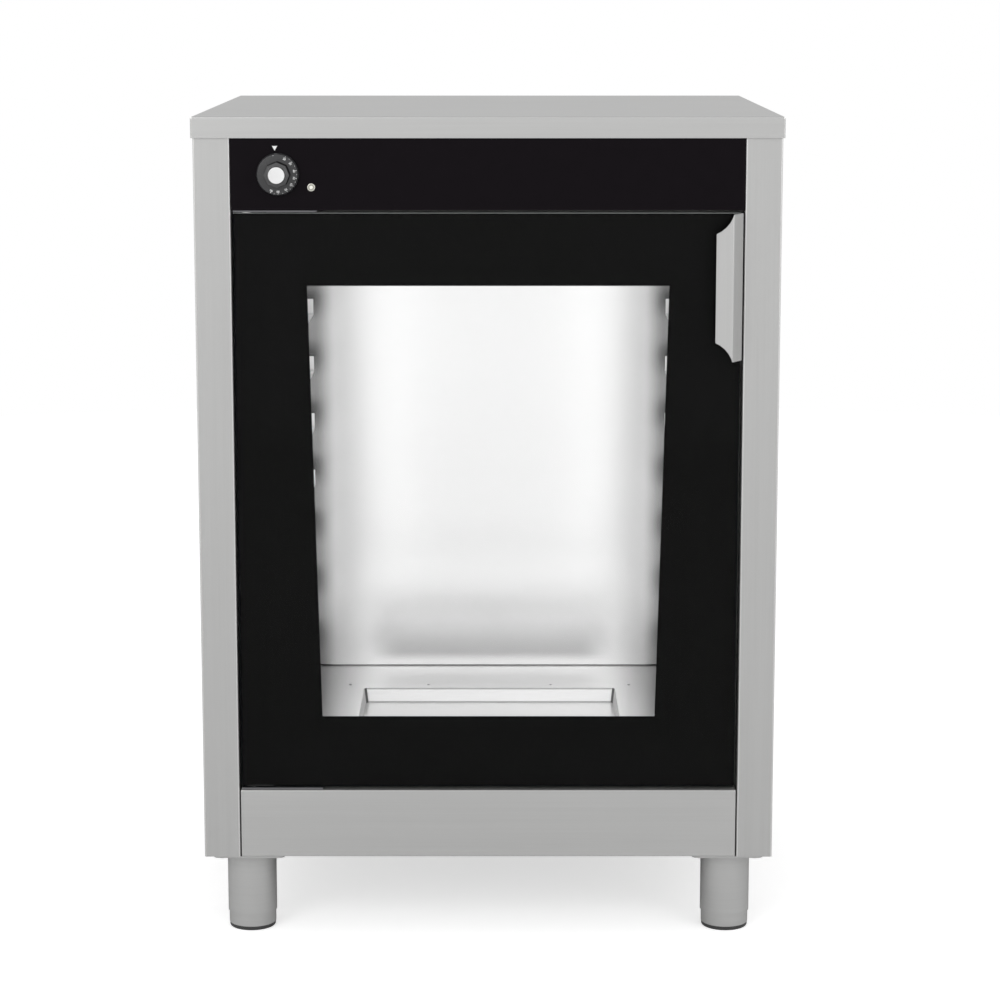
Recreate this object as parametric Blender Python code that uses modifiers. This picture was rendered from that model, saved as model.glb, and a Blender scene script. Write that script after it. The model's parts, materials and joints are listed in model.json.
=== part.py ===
"""Under-counter proofing cabinet: a folded steel body on four adjustable legs, a hinged glass door,
a tray chamber with a pressed water well, and a thermostat with its dial.

Units are metres, +Z is up and the front faces -Y. The origin lies on the floor, below the middle
of the cabinet. The right side is +X, as seen from the front.
"""

import math

import bmesh
import bpy
from mathutils import Matrix, Vector

# Fits and facets that all pieces share
FIT_GAP = 0.0003
CUT_OVERRUN = 0.002
MERGE_DISTANCE = 0.00005
SHEET = 0.001
BEND_RADIUS = 0.0016
BEND_STEPS = 3
ROUND_STEPS = 32
SMALL_ROUND_STEPS = 12
SMOOTH_ANGLE = math.radians(35)

# Worktop
WORKTOP_WIDTH = 0.600
WORKTOP_DEPTH = 0.560
CABINET_HEIGHT = 0.860
WORKTOP_SKIRT = 0.0214
WORKTOP_FRONT_OVERHANG = 0.002
WORKTOP_SIDE_OVERHANG = 0.0018
WORKTOP_REAR_OVERHANG = 0.0135

# Body panels
COLUMN_WIDTH = 0.0375
DOOR_RECESS = 0.033
REAR_RETURN = 0.025
BASE_FLANGE = 0.025
PLINTH_HEIGHT = 0.0724
PLINTH_SIDE_GAP = 0.0011
FASCIA_HEIGHT = 0.0729
FASCIA_SHEET = 0.001
FASCIA_TUCK = 0.006
FRONT_FRAME_LAP = 0.014
FRONT_FRAME_RISE = 0.030

# Back panel with its vents and its screw holes
VENT_COUNT = 9
VENT_WIDTH = 0.005
VENT_LENGTH = 0.042
VENT_PITCH = 0.014
VENT_DROP = 0.070
BACK_SCREW_EDGE = 0.011
BACK_SCREW_ROWS = 4

# Tray chamber
CHAMBER_SIDE_INSET = 0.0357
CHAMBER_FLOOR_RISE = 0.0909
CHAMBER_CEILING_DROP = 0.0307
CHAMBER_SERVICE_SPACE = 0.065
CHAMBER_FLANGE = 0.010

# Water well pressed into the chamber floor
WELL_SIDE_MARGIN = 0.078
WELL_BACK_MARGIN = 0.112
WELL_FRONT_MARGIN = 0.060
WELL_DEPTH = 0.017
WELL_DRAFT = 0.002
WELL_CORNER_RADIUS = 0.005
WELL_CORNER_STEPS = 4

# Tray runners
RUNNER_FIRST_RISE = 0.0296
RUNNER_PITCH = 0.0675
RUNNER_TOP_ROOM = 0.050
RUNNER_REACH = 0.0187
RUNNER_LEG = 0.012
RUNNER_FRONT_SETBACK = 0.006
RUNNER_REAR_SETBACK = 0.050
RUNNER_STOP_HEIGHT = 0.017

# Door
DOOR_HINGE_GAP = 0.0022
DOOR_LATCH_GAP = 0.0016
DOOR_LOWER_GAP = 0.0036
DOOR_UPPER_GAP = 0.0026
GLASS_THICKNESS = 0.004
GLASS_EDGE_RADIUS = 0.001
PRINT_THICKNESS = 0.0002
WINDOW_TOP_SIDE_MARGIN = 0.0742
WINDOW_BOTTOM_SIDE_MARGIN = 0.0854
WINDOW_TOP_MARGIN = 0.0745
WINDOW_BOTTOM_MARGIN = 0.075
DOOR_FRAME_DEPTH = 0.018
DOOR_FRAME_RIM = 0.055
DOOR_FRAME_LIP = 0.008
GASKET_INSET = 0.024
GASKET_CORNER_RADIUS = 0.012

# Door handle
HANDLE_SHEET = 0.0012
HANDLE_HEIGHT = 0.150
HANDLE_GRIP_WIDTH = 0.0176
HANDLE_SLANT_WIDTH = 0.0106
HANDLE_PROUD = 0.016
HANDLE_LEG = 0.018
HANDLE_SCALLOP_RADIUS = 0.031
HANDLE_SCALLOP_HEIGHT = 0.0198
HANDLE_TOP_DROP = 0.0004
HANDLE_HOLE_PLACE_SHARES = (0.2, 0.8)

# Door hinges
HINGE_SIDE_INSET = 0.0132
HINGE_DEPTH = 0.008
HINGE_PIN_DIAMETER = 0.005
HINGE_PIN_REACH = 0.010
HINGE_BORE_CLEARANCE = 0.00015
HINGE_BORE_END_ROOM = 0.001
HINGE_PLATE_LENGTH = 0.091
HINGE_PLATE_DEPTH = 0.028
HINGE_PLATE_THICKNESS = 0.0015
HINGE_PLATE_FRONT_SETBACK = 0.003
HINGE_PLATE_SLANT = 0.006
HINGE_BLOCK_WIDTH = 0.026
HINGE_BLOCK_DEPTH = 0.012
HINGE_BLOCK_HEIGHT = 0.014

# Thermostat with its knob
KNOB_SIDE_INSET = 0.0484
KNOB_CENTRE_RISE = 0.0366
KNOB_STANDOFF = 0.001
DIAL_DIAMETER = 0.043
DIAL_RIM = 0.0025
DIAL_THICKNESS = 0.0055
DIAL_CHAMFER = 0.0015
GRIP_SIDES = 8
GRIP_BASE_DIAMETER = 0.0274
GRIP_NOSE_DIAMETER = 0.0262
GRIP_HEIGHT = 0.0115
GRIP_CHAMFER_DEPTH = 0.0025
GRIP_CHAMFER_WIDTH = 0.003
CAP_DIAMETER = 0.018
CAP_THICKNESS = 0.0014
CAP_EDGE = 0.0005
KNOB_BORE_DEPTH = 0.014
SHAFT_DIAMETER = 0.006
SHAFT_REAR_REACH = 0.012
SHAFT_RUNNING_GAP = 0.0001
THERMOSTAT_WIDTH = 0.040
THERMOSTAT_HEIGHT = 0.034
THERMOSTAT_DEPTH = 0.030
THERMOSTAT_EDGE = 0.002
THERMOSTAT_NECK_DIAMETER = 0.010
BULB_DIAMETER = 0.006
BULB_LENGTH = 0.070
BULB_SETBACK = 0.060
BULB_NECK_LENGTH = 0.006
CAPILLARY_DIAMETER = 0.002
CAPILLARY_BEND_RADIUS = 0.008
CAPILLARY_HOLE_DIAMETER = 0.007
CAPILLARY_SIDE_INSET = 0.030

# Pilot lamp
LAMP_SIDE_STEP = 0.0337
LAMP_DROP = 0.0132
LAMP_FLANGE_DIAMETER = 0.0089
LAMP_FLANGE_THICKNESS = 0.0012
LAMP_BODY_DIAMETER = 0.007
LAMP_BODY_LENGTH = 0.018
LAMP_LENS_DIAMETER = 0.0054
LAMP_LENS_DEPTH = 0.0025
LAMP_LENS_DOME = 0.0011
LAMP_DOME_STEPS = 4

# Heater, terminal block and cable gland
HEATER_DIAMETER = 0.008
HEATER_HALF_SPREAD = 0.070
HEATER_END_MARGIN = 0.030
HEATER_TAIL = 0.040
TERMINAL_WIDTH = 0.060
TERMINAL_DEPTH = 0.022
TERMINAL_HEIGHT = 0.020
TERMINAL_POLES = 3
TERMINAL_SCREW_DIAMETER = 0.005
TERMINAL_SCREW_DEPTH = 0.003
GLAND_SIDE_INSET = 0.070
GLAND_DROP = 0.070
GLAND_NUT_DIAMETER = 0.024
GLAND_NUT_DEPTH = 0.005
GLAND_NECK_DIAMETER = 0.016
GLAND_DOME_DEPTH = 0.005
GLAND_BORE_DIAMETER = 0.008
GLAND_INSIDE_LENGTH = 0.010

# Legs
LEG_HEIGHT = 0.0862
LEG_SIDE_INSET = 0.0462
LEG_FRONT_INSET = 0.040
LEG_REAR_INSET = 0.044
LEG_TUBE_DIAMETER = 0.052
LEG_TUBE_WALL = 0.0008
LEG_TUBE_RISE = 0.0176
LEG_PLATE_WIDTH = 0.075
LEG_PLATE_THICKNESS = 0.002
LEG_PLATE_CORNER = 0.006
LEG_SCREW_EDGE = 0.0085
FOOT_HEIGHT = 0.060
FOOT_WALL = 0.002
FOOT_FLOOR = 0.004
FOOT_EDGE_RADIUS = 0.003
FOOT_SLIDE_GAP = 0.0003
FOOT_STUD_DIAMETER = 0.010

# Holes for the screws of the legs, the handle and the back panel
SCREW_HOLE_DIAMETER = 0.0046

# Heights that follow from the sizes above
BODY_BOTTOM = LEG_HEIGHT + FIT_GAP
BODY_TOP = CABINET_HEIGHT - SHEET - FIT_GAP
PLINTH_TOP = BODY_BOTTOM + PLINTH_HEIGHT
FASCIA_TOP = CABINET_HEIGHT - WORKTOP_SKIRT
FASCIA_BOTTOM = FASCIA_TOP - FASCIA_HEIGHT
DOOR_BOTTOM = PLINTH_TOP + DOOR_LOWER_GAP
DOOR_TOP = FASCIA_BOTTOM - DOOR_UPPER_GAP
CHAMBER_FLOOR = BODY_BOTTOM + CHAMBER_FLOOR_RISE
CHAMBER_CEILING = FASCIA_BOTTOM - CHAMBER_CEILING_DROP
RUNNER_FIRST = CHAMBER_FLOOR + RUNNER_FIRST_RISE
RUNNER_LEVELS = 1 + int((CHAMBER_CEILING - RUNNER_TOP_ROOM - RUNNER_FIRST) / RUNNER_PITCH)

# Widths that follow from the sizes above
BODY_HALF = WORKTOP_WIDTH / 2 - WORKTOP_SIDE_OVERHANG
OPENING_HALF = BODY_HALF - COLUMN_WIDTH
PANEL_HALF = OPENING_HALF - FIT_GAP
CHAMBER_HALF = OPENING_HALF - CHAMBER_SIDE_INSET
DOOR_LEFT = -OPENING_HALF + DOOR_HINGE_GAP
DOOR_RIGHT = OPENING_HALF - DOOR_LATCH_GAP
GLASS_RIGHT = DOOR_RIGHT - HANDLE_SHEET - FIT_GAP
DOOR_CENTRE = (DOOR_LEFT + DOOR_RIGHT) / 2
WELL_HALF = CHAMBER_HALF - WELL_SIDE_MARGIN

# Depths that follow from the sizes above. The knob stands in front of the worktop's edge.
KNOB_PROUD = KNOB_STANDOFF + DIAL_THICKNESS + GRIP_HEIGHT + GRIP_CHAMFER_DEPTH + CAP_THICKNESS
OVERALL_DEPTH = KNOB_PROUD + WORKTOP_DEPTH - WORKTOP_FRONT_OVERHANG
FACE_Y = KNOB_PROUD - OVERALL_DEPTH / 2
WORKTOP_FRONT_Y = FACE_Y - WORKTOP_FRONT_OVERHANG
WORKTOP_BACK_Y = WORKTOP_FRONT_Y + WORKTOP_DEPTH
BODY_BACK_Y = WORKTOP_BACK_Y - WORKTOP_REAR_OVERHANG
RECESS_Y = FACE_Y + DOOR_RECESS
FRONT_FRAME_Y = RECESS_Y + FIT_GAP
CHAMBER_FRONT_Y = FRONT_FRAME_Y + SHEET + FIT_GAP
CHAMBER_BACK_Y = BODY_BACK_Y - CHAMBER_SERVICE_SPACE
PRINT_Y = FACE_Y + GLASS_THICKNESS + FIT_GAP
DOOR_FRAME_Y = PRINT_Y + PRINT_THICKNESS + FIT_GAP
DOOR_REAR_Y = DOOR_FRAME_Y + DOOR_FRAME_DEPTH
CONTROL_PANEL_Y = FACE_Y + FASCIA_SHEET + FIT_GAP
CONTROL_REAR_Y = CONTROL_PANEL_Y + SHEET
BACK_PANEL_Y = BODY_BACK_Y + FIT_GAP

# Places of the moving pieces
HINGE_X = DOOR_LEFT + HINGE_SIDE_INSET
HINGE_Y = FACE_Y + HINGE_DEPTH
KNOB_X = -OPENING_HALF + KNOB_SIDE_INSET
KNOB_Z = FASCIA_BOTTOM + KNOB_CENTRE_RISE
LAMP_X = KNOB_X + LAMP_SIDE_STEP
LAMP_Z = KNOB_Z - LAMP_DROP
LEG_X = BODY_HALF - LEG_SIDE_INSET
LEG_FRONT_Y = FACE_Y + LEG_FRONT_INSET
LEG_REAR_Y = BODY_BACK_Y - LEG_REAR_INSET

# Colours, with the roughness and metallic value of each finish
FINISHES = {
    "satin_steel": ((0.50, 0.50, 0.49), 0.42, 1.0),
    "bright_steel": ((0.70, 0.70, 0.70), 0.30, 1.0),
    "black_fascia": ((0.011, 0.009, 0.011), 0.28, 0.0),
    "black_print": ((0.008, 0.008, 0.008), 0.35, 0.0),
    "clear_glass": ((0.90, 0.94, 0.92), 0.03, 0.0),
    "dark_plastic": ((0.058, 0.058, 0.060), 0.42, 0.0),
    "white_plastic": ((0.85, 0.85, 0.84), 0.35, 0.0),
    "lamp_lens": ((0.80, 0.76, 0.62), 0.18, 0.0),
    "grey_rubber": ((0.09, 0.09, 0.09), 0.70, 0.0),
    "zinc_steel": ((0.45, 0.45, 0.46), 0.38, 1.0),
    "cream_plastic": ((0.62, 0.60, 0.54), 0.50, 0.0),
    "copper_tube": ((0.55, 0.30, 0.18), 0.35, 1.0),
}
GLASS_ALPHA = 0.25


def clear_scene():
    """Remove what the scene holds, so that the model starts from nothing."""
    for item in list(bpy.data.objects):
        bpy.data.objects.remove(item, do_unlink=True)


def make_collection(name):
    """Return a new collection that is linked to the scene."""
    collection = bpy.data.collections.new(name)
    bpy.context.scene.collection.children.link(collection)
    return collection


def make_material(name):
    """Return the Principled material of one finish."""
    colour, roughness, metallic = FINISHES[name]
    material = bpy.data.materials.new(name)
    material.use_nodes = True
    shader = material.node_tree.nodes["Principled BSDF"]
    shader.inputs["Base Color"].default_value = (*colour, 1.0)
    shader.inputs["Roughness"].default_value = roughness
    shader.inputs["Metallic"].default_value = metallic
    if name == "clear_glass":
        shader.inputs["Alpha"].default_value = GLASS_ALPHA
    return material


clear_scene()
PARTS = make_collection("proofing_cabinet")
CUTTERS = make_collection("cutters")
MATERIALS = {name: make_material(name) for name in FINISHES}


def place(name, data, finish, location=(0, 0, 0)):
    """Put a mesh or curve into the scene as a part with its own finish."""
    data.name = name
    part = bpy.data.objects.new(name, data)
    part.location = location
    data.materials.append(MATERIALS[finish])
    PARTS.objects.link(part)
    return part


def mesh_from(bm, name):
    """Turn a bmesh into a mesh and free it."""
    mesh = bpy.data.meshes.new(name)
    bm.to_mesh(mesh)
    bm.free()
    return mesh


def as_cutter(part):
    """Move a part into the collection of cutters, out of the model."""
    PARTS.objects.unlink(part)
    CUTTERS.objects.link(part)
    part.hide_render = True
    part.display_type = "WIRE"
    return part


def combine(part, other, operation):
    """Join or cut a part with another shape."""
    modifier = part.modifiers.new(operation.lower(), "BOOLEAN")
    modifier.operation = operation
    modifier.solver = "EXACT"
    modifier.object = as_cutter(other)


def solidify(part, thickness):
    """Give an open surface its wall, on the side away from its normals."""
    modifier = part.modifiers.new("wall", "SOLIDIFY")
    modifier.thickness = thickness
    modifier.offset = -1
    modifier.use_even_offset = True


def round_edges(part, radius, segments=2):
    """Bevel the sharp edges of a part."""
    modifier = part.modifiers.new("edges", "BEVEL")
    modifier.width = radius
    modifier.segments = segments
    modifier.limit_method = "ANGLE"
    modifier.angle_limit = SMOOTH_ANGLE


def cube_bmesh(low, high):
    """Return a box between two corners as a bmesh."""
    low = Vector(low)
    high = Vector(high)
    bm = bmesh.new()
    bmesh.ops.create_cube(bm, size=1)
    stretch = Matrix.Diagonal((*(high - low), 1))
    bm.transform(Matrix.Translation((low + high) / 2) @ stretch)
    return bm


def box(name, low, high, finish, edge=0):
    """Make a solid box, with rounded edges where an edge radius is given."""
    part = place(name, mesh_from(cube_bmesh(low, high), name), finish)
    if edge:
        round_edges(part, edge)
    return part


def pan(name, low, high, open_side, finish, radius=BEND_RADIUS):
    """Make a folded tray: a box of sheet that is open towards one direction."""
    bm = cube_bmesh(low, high)
    bm.normal_update()
    lid = max(bm.faces, key=lambda face: face.normal.dot(Vector(open_side)))
    bmesh.ops.delete(bm, geom=[lid], context="FACES_ONLY")
    part = place(name, mesh_from(bm, name), finish)
    round_edges(part, radius)
    solidify(part, SHEET)
    return part


def arc(centre, radius, start, end, steps):
    """Return points on an arc in a plane, both ends included. Angles are in radians."""
    turn = [start + (end - start) * step / steps for step in range(steps + 1)]
    return [(centre[0] + radius * math.cos(a), centre[1] + radius * math.sin(a)) for a in turn]


def filleted(points, radius, steps, closed=False):
    """Round each inner corner of a flat path with an arc of the given radius."""
    points = [Vector(point) for point in points]
    count = len(points)
    rounded = []
    for index, corner in enumerate(points):
        if not closed and index in (0, count - 1):
            rounded.append(tuple(corner))
            continue
        before = (points[index - 1] - corner).normalized()
        after = (points[(index + 1) % count] - corner).normalized()
        half_angle = before.angle(after) / 2
        centre = corner + (before + after).normalized() * (radius / math.sin(half_angle))
        reach = radius / math.tan(half_angle)
        first = corner + before * reach - centre
        last = corner + after * reach - centre
        sweep = first.angle_signed(last)
        for step in range(steps + 1):
            turned_spoke = first.copy()
            turned_spoke.rotate(Matrix.Rotation(-sweep * step / steps, 2))
            rounded.append(tuple(centre + turned_spoke))
    return rounded


def rounded_rectangle(half_width, half_height, radius, steps, centre=(0, 0)):
    """Return the outline of a rectangle with round corners, anticlockwise."""
    across = (half_width, -half_width, -half_width, half_width)
    along = (half_height, half_height, -half_height, -half_height)
    corners = [(centre[0] + u, centre[1] + v) for u, v in zip(across, along)]
    return filleted(corners, radius, steps, closed=True)


def mirrored(path):
    """Mirror a flat path across its first axis, and keep the wall on the same side of it."""
    return [(-u, v) for u, v in reversed(path)]


AXIS_FRAMES = {
    "X": Matrix(((0, 0, 1), (1, 0, 0), (0, 1, 0))),
    "Y": Matrix(((0, 1, 0), (0, 0, 1), (1, 0, 0))),
    "Z": Matrix.Identity(3),
}


def folded_bmesh(path, start, end, axis, radius=BEND_RADIUS):
    """Sweep a flat path along an axis as a surface.

    The path lies in the Y-Z plane for X, in the Z-X plane for Y and in the X-Y plane for Z.
    The wall that solidify adds lies to the left of the path's direction.
    """
    turn = AXIS_FRAMES[axis]
    bm = bmesh.new()
    rounded = filleted(path, radius, BEND_STEPS) if radius else path
    verts = [bm.verts.new(turn @ Vector((u, v, start))) for u, v in rounded]
    edges = [bm.edges.new(pair) for pair in zip(verts, verts[1:])]
    swept = bmesh.ops.extrude_edge_only(bm, edges=edges)
    moved = [item for item in swept["geom"] if isinstance(item, bmesh.types.BMVert)]
    bmesh.ops.translate(bm, verts=moved, vec=turn @ Vector((0, 0, end - start)))
    bm.normal_update()
    across = Vector(rounded[1]) - Vector(rounded[0])
    outward = turn @ Vector((across.y, -across.x, 0))
    first_face = verts[0].link_faces[0]
    if first_face.normal.dot(outward) < 0:
        bmesh.ops.reverse_faces(bm, faces=bm.faces)
    return bm


def folded_sheet(name, path, start, end, axis, finish, thickness=SHEET):
    """Make a folded sheet from a flat path that is swept along an axis."""
    part = place(name, mesh_from(folded_bmesh(path, start, end, axis), name), finish)
    solidify(part, thickness)
    return part


def flat_plate(name, outlines, thickness, facing, level, finish):
    """Make a plate from outlines. The first is its edge and the others are holes.

    A plate that faces Z has outlines in X and Y, one that faces Y has them in X and Z, and its
    level is the height or depth at which it starts.
    """
    curve = bpy.data.curves.new(name, "CURVE")
    curve.dimensions = "2D"
    curve.fill_mode = "BOTH"
    curve.extrude = thickness / 2
    for outline in outlines:
        spline = curve.splines.new("POLY")
        spline.points.add(len(outline) - 1)
        for point, (u, v) in zip(spline.points, outline):
            point.co = (u, v, 0, 1)
        spline.use_cyclic_u = True
    part = place(name, curve, finish)
    if facing == "Y":
        part.rotation_euler = (math.pi / 2, 0, 0)
        part.location = (0, level + thickness / 2, 0)
    else:
        part.location = (0, 0, level + thickness / 2)
    return part


def circle(centre, diameter, steps=ROUND_STEPS):
    """Return a round outline."""
    return arc(centre, diameter / 2, 0, 2 * math.pi, steps)[:-1]


def rectangle(low, high):
    """Return a rectangular outline between two corners."""
    return [low, (high[0], low[1]), high, (low[0], high[1])]


AXIS_TURNS = {
    "up": (0, 0, 0),
    "front": (math.pi / 2, 0, 0),
    "back": (-math.pi / 2, 0, 0),
    "right": (0, math.pi / 2, 0),
}


def turned(name, profile, location, finish, towards="up", steps=ROUND_STEPS):
    """Turn a profile of radius and height round an axis that points up, front, back or right.

    The profile runs from its top end down the outer side.
    """
    mesh = bpy.data.meshes.new(name)
    verts = [(radius, 0, height) for radius, height in profile]
    mesh.from_pydata(verts, [(i, i + 1) for i in range(len(verts) - 1)], [])
    part = place(name, mesh, finish, location)
    part.rotation_euler = AXIS_TURNS[towards]
    screw = part.modifiers.new("turn", "SCREW")
    screw.steps = steps
    screw.render_steps = steps
    screw.use_merge_vertices = True
    screw.merge_threshold = MERGE_DISTANCE
    screw.use_smooth_shade = True
    return part


def rod(name, diameter, length, location, finish, towards="up", steps=ROUND_STEPS):
    """Make a plain rod that starts at a place and runs one way from it."""
    radius = diameter / 2
    profile = [(0, length), (radius, length), (radius, 0), (0, 0)]
    return turned(name, profile, location, finish, towards, steps)


def tube(name, points, diameter, finish, closed=False):
    """Make a round wire or pipe along points."""
    curve = bpy.data.curves.new(name, "CURVE")
    curve.dimensions = "3D"
    curve.bevel_depth = diameter / 2
    curve.bevel_resolution = 2
    curve.use_fill_caps = True
    spline = curve.splines.new("POLY")
    spline.points.add(len(points) - 1)
    for point, place_on_path in zip(spline.points, points):
        point.co = (*place_on_path, 1)
    spline.use_cyclic_u = closed
    return place(name, curve, finish)


def empty_at(name, location):
    """Put an empty on a joint's axis, to carry the pieces that move on it."""
    pivot = bpy.data.objects.new(name, None)
    pivot.location = location
    PARTS.objects.link(pivot)
    return pivot


def carry(pivot, parts):
    """Parent parts to a pivot and leave them where they are."""
    bpy.context.view_layer.update()
    for part in parts:
        part.parent = pivot
        part.matrix_parent_inverse = pivot.matrix_world.inverted()


def make_worktop():
    """The lid of folded sheet, with a skirt on all four sides."""
    low = (-WORKTOP_WIDTH / 2, WORKTOP_FRONT_Y, CABINET_HEIGHT - WORKTOP_SKIRT)
    high = (WORKTOP_WIDTH / 2, WORKTOP_BACK_Y, CABINET_HEIGHT)
    pan("worktop", low, high, (0, 0, -1), "satin_steel")


def make_side_panels():
    """The sides, whose front folds are the columns beside the door."""
    path = [
        (OPENING_HALF, RECESS_Y),
        (OPENING_HALF, FACE_Y),
        (BODY_HALF, FACE_Y),
        (BODY_HALF, BODY_BACK_Y),
        (BODY_HALF - REAR_RETURN, BODY_BACK_Y),
    ]
    for name, outline in (("side_panel_right", path), ("side_panel_left", mirrored(path))):
        folded_sheet(name, outline, BODY_BOTTOM, BODY_TOP, "Z", "satin_steel")


def vent_outline(centre_x, centre_z):
    """Outline of one upright vent slot with round ends."""
    end_rise = (VENT_LENGTH - VENT_WIDTH) / 2
    radius = VENT_WIDTH / 2
    steps = SMALL_ROUND_STEPS // 2
    upper = arc((centre_x, centre_z + end_rise), radius, 0, math.pi, steps)
    lower = arc((centre_x, centre_z - end_rise), radius, math.pi, 2 * math.pi, steps)
    return upper + lower


def back_screw_places():
    """Places of the screws along both edges of the back panel, evenly spaced in height."""
    across = BODY_HALF - BACK_SCREW_EDGE
    low = BODY_BOTTOM + BACK_SCREW_EDGE
    high = FASCIA_TOP - BACK_SCREW_EDGE
    rise = (high - low) / (BACK_SCREW_ROWS - 1)
    return [(side * across, low + row * rise) for side in (-1, 1) for row in range(BACK_SCREW_ROWS)]


def make_back_panel():
    """The rear cover with vents for the control space, and holes for the gland and the screws."""
    vent_z = BODY_TOP - VENT_DROP
    first_vent_x = -VENT_PITCH * (VENT_COUNT - 1) / 2
    vents = [vent_outline(first_vent_x + i * VENT_PITCH, vent_z) for i in range(VENT_COUNT)]
    gland = (BODY_HALF - GLAND_SIDE_INSET, BODY_TOP - GLAND_DROP)
    hole_diameter = GLAND_NECK_DIAMETER + 2 * FIT_GAP
    outline = rectangle((-BODY_HALF, BODY_BOTTOM), (BODY_HALF, BODY_TOP))
    holes = [circle(spot, SCREW_HOLE_DIAMETER, SMALL_ROUND_STEPS) for spot in back_screw_places()]
    outlines = [outline, *vents, circle(gland, hole_diameter), *holes]
    flat_plate("back_panel", outlines, SHEET, "Y", BACK_PANEL_Y, "satin_steel")


def make_cable_gland():
    """The gland through the back panel, where the supply cable enters."""
    where = (BODY_HALF - GLAND_SIDE_INSET, BACK_PANEL_Y, BODY_TOP - GLAND_DROP)
    seat = SHEET + FIT_GAP
    dome_top = seat + GLAND_NUT_DEPTH + GLAND_DOME_DEPTH
    neck = GLAND_NECK_DIAMETER / 2
    bore = GLAND_BORE_DIAMETER / 2
    nut = GLAND_NUT_DIAMETER / 2
    crown = (neck + bore) / 2
    profile = [
        (bore, -GLAND_INSIDE_LENGTH),
        (bore, dome_top),
        (crown, dome_top),
        (neck, seat + GLAND_NUT_DEPTH),
        (nut, seat + GLAND_NUT_DEPTH),
        (nut, seat),
        (neck, seat),
        (neck, -GLAND_INSIDE_LENGTH),
        (bore, -GLAND_INSIDE_LENGTH),
    ]
    turned("cable_gland", profile, where, "grey_rubber", "back")


def make_base_panel():
    """The bottom sheet behind the plinth, with a flange up each side panel."""
    across = BODY_HALF - SHEET - FIT_GAP
    path = [
        (BODY_BOTTOM + BASE_FLANGE, -across),
        (BODY_BOTTOM, -across),
        (BODY_BOTTOM, across),
        (BODY_BOTTOM + BASE_FLANGE, across),
    ]
    start = FRONT_FRAME_Y
    end = BODY_BACK_Y - SHEET - FIT_GAP
    folded_sheet("base_panel", path[::-1], start, end, "Y", "satin_steel")


def make_plinth_panel():
    """The removable panel below the door, folded back on all its sides."""
    across = OPENING_HALF - PLINTH_SIDE_GAP
    low = (-across, FACE_Y, BODY_BOTTOM)
    high = (across, RECESS_Y, PLINTH_TOP)
    pan("plinth_panel", low, high, (0, 1, 0), "satin_steel")


def make_front_frame():
    """The bulkhead behind the door, which the gasket meets, with the chamber's mouth in it."""
    across = OPENING_HALF + FRONT_FRAME_LAP
    low = BODY_BOTTOM + SHEET + FIT_GAP
    outline = rectangle((-across, low), (across, FASCIA_BOTTOM + FRONT_FRAME_RISE))
    mouth = rectangle((-CHAMBER_HALF, CHAMBER_FLOOR), (CHAMBER_HALF, CHAMBER_CEILING))
    flat_plate("front_frame", [outline, mouth], SHEET, "Y", FRONT_FRAME_Y, "satin_steel")


def make_control_panel():
    """The steel pan behind the black fascia, with holes for the thermostat and the pilot lamp."""
    low = (-PANEL_HALF, CONTROL_PANEL_Y, FASCIA_BOTTOM)
    high = (PANEL_HALF, RECESS_Y, BODY_TOP)
    panel = pan("control_panel", low, high, (0, 1, 0), "satin_steel")
    reach = 2 * (SHEET + CUT_OVERRUN)
    rear = CONTROL_REAR_Y + CUT_OVERRUN
    for x, z, diameter in control_holes():
        cutter = rod("hole_cutter", diameter, reach, (x, rear, z), "satin_steel", "front")
        combine(panel, cutter, "DIFFERENCE")


def control_holes():
    """Place and diameter of the two holes that the fascia and the control panel share."""
    return [
        (KNOB_X, KNOB_Z, THERMOSTAT_NECK_DIAMETER + 2 * FIT_GAP),
        (LAMP_X, LAMP_Z, LAMP_BODY_DIAMETER + 2 * FIT_GAP),
    ]


def make_control_fascia():
    """The black face of the controls, tucked behind the worktop's skirt."""
    outline = rectangle((-PANEL_HALF, FASCIA_BOTTOM), (PANEL_HALF, FASCIA_TOP + FASCIA_TUCK))
    holes = [circle((x, z), diameter) for x, z, diameter in control_holes()]
    flat_plate("control_fascia", [outline, *holes], FASCIA_SHEET, "Y", FACE_Y, "black_fascia")


def make_chamber_walls():
    """The side, rear and top sheets of the tray chamber, with the flanges that join them."""
    side_path = [
        (CHAMBER_HALF, CHAMBER_BACK_Y),
        (CHAMBER_HALF, CHAMBER_FRONT_Y),
        (CHAMBER_HALF + CHAMBER_FLANGE, CHAMBER_FRONT_Y),
    ]
    low = CHAMBER_FLOOR + FIT_GAP
    high = CHAMBER_CEILING - FIT_GAP
    for name, path in (("chamber_side_right", side_path), ("chamber_side_left", mirrored(side_path))):
        folded_sheet(name, path, low, high, "Z", "bright_steel")
    across = CHAMBER_HALF + SHEET
    rear = CHAMBER_BACK_Y + FIT_GAP
    back_path = [
        (-across, rear + CHAMBER_FLANGE),
        (-across, rear),
        (across, rear),
        (across, rear + CHAMBER_FLANGE),
    ]
    folded_sheet("chamber_back", back_path, low, high, "Z", "bright_steel")
    ceiling_path = [
        (CHAMBER_FRONT_Y, CHAMBER_CEILING + CHAMBER_FLANGE),
        (CHAMBER_FRONT_Y, CHAMBER_CEILING),
        (rear + CHAMBER_FLANGE, CHAMBER_CEILING),
    ]
    ceiling = folded_sheet("chamber_ceiling", ceiling_path, -across, across, "X", "bright_steel")
    hole_place = (capillary_x(), bulb_y(), CHAMBER_CEILING - CUT_OVERRUN)
    reach = SHEET + 2 * CUT_OVERRUN
    hole = rod("capillary_hole", CAPILLARY_HOLE_DIAMETER, reach, hole_place, "bright_steel")
    combine(ceiling, hole, "DIFFERENCE")


def well_place():
    """Front and back edges of the water well."""
    return CHAMBER_FRONT_Y + WELL_FRONT_MARGIN, CHAMBER_BACK_Y - WELL_BACK_MARGIN


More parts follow.
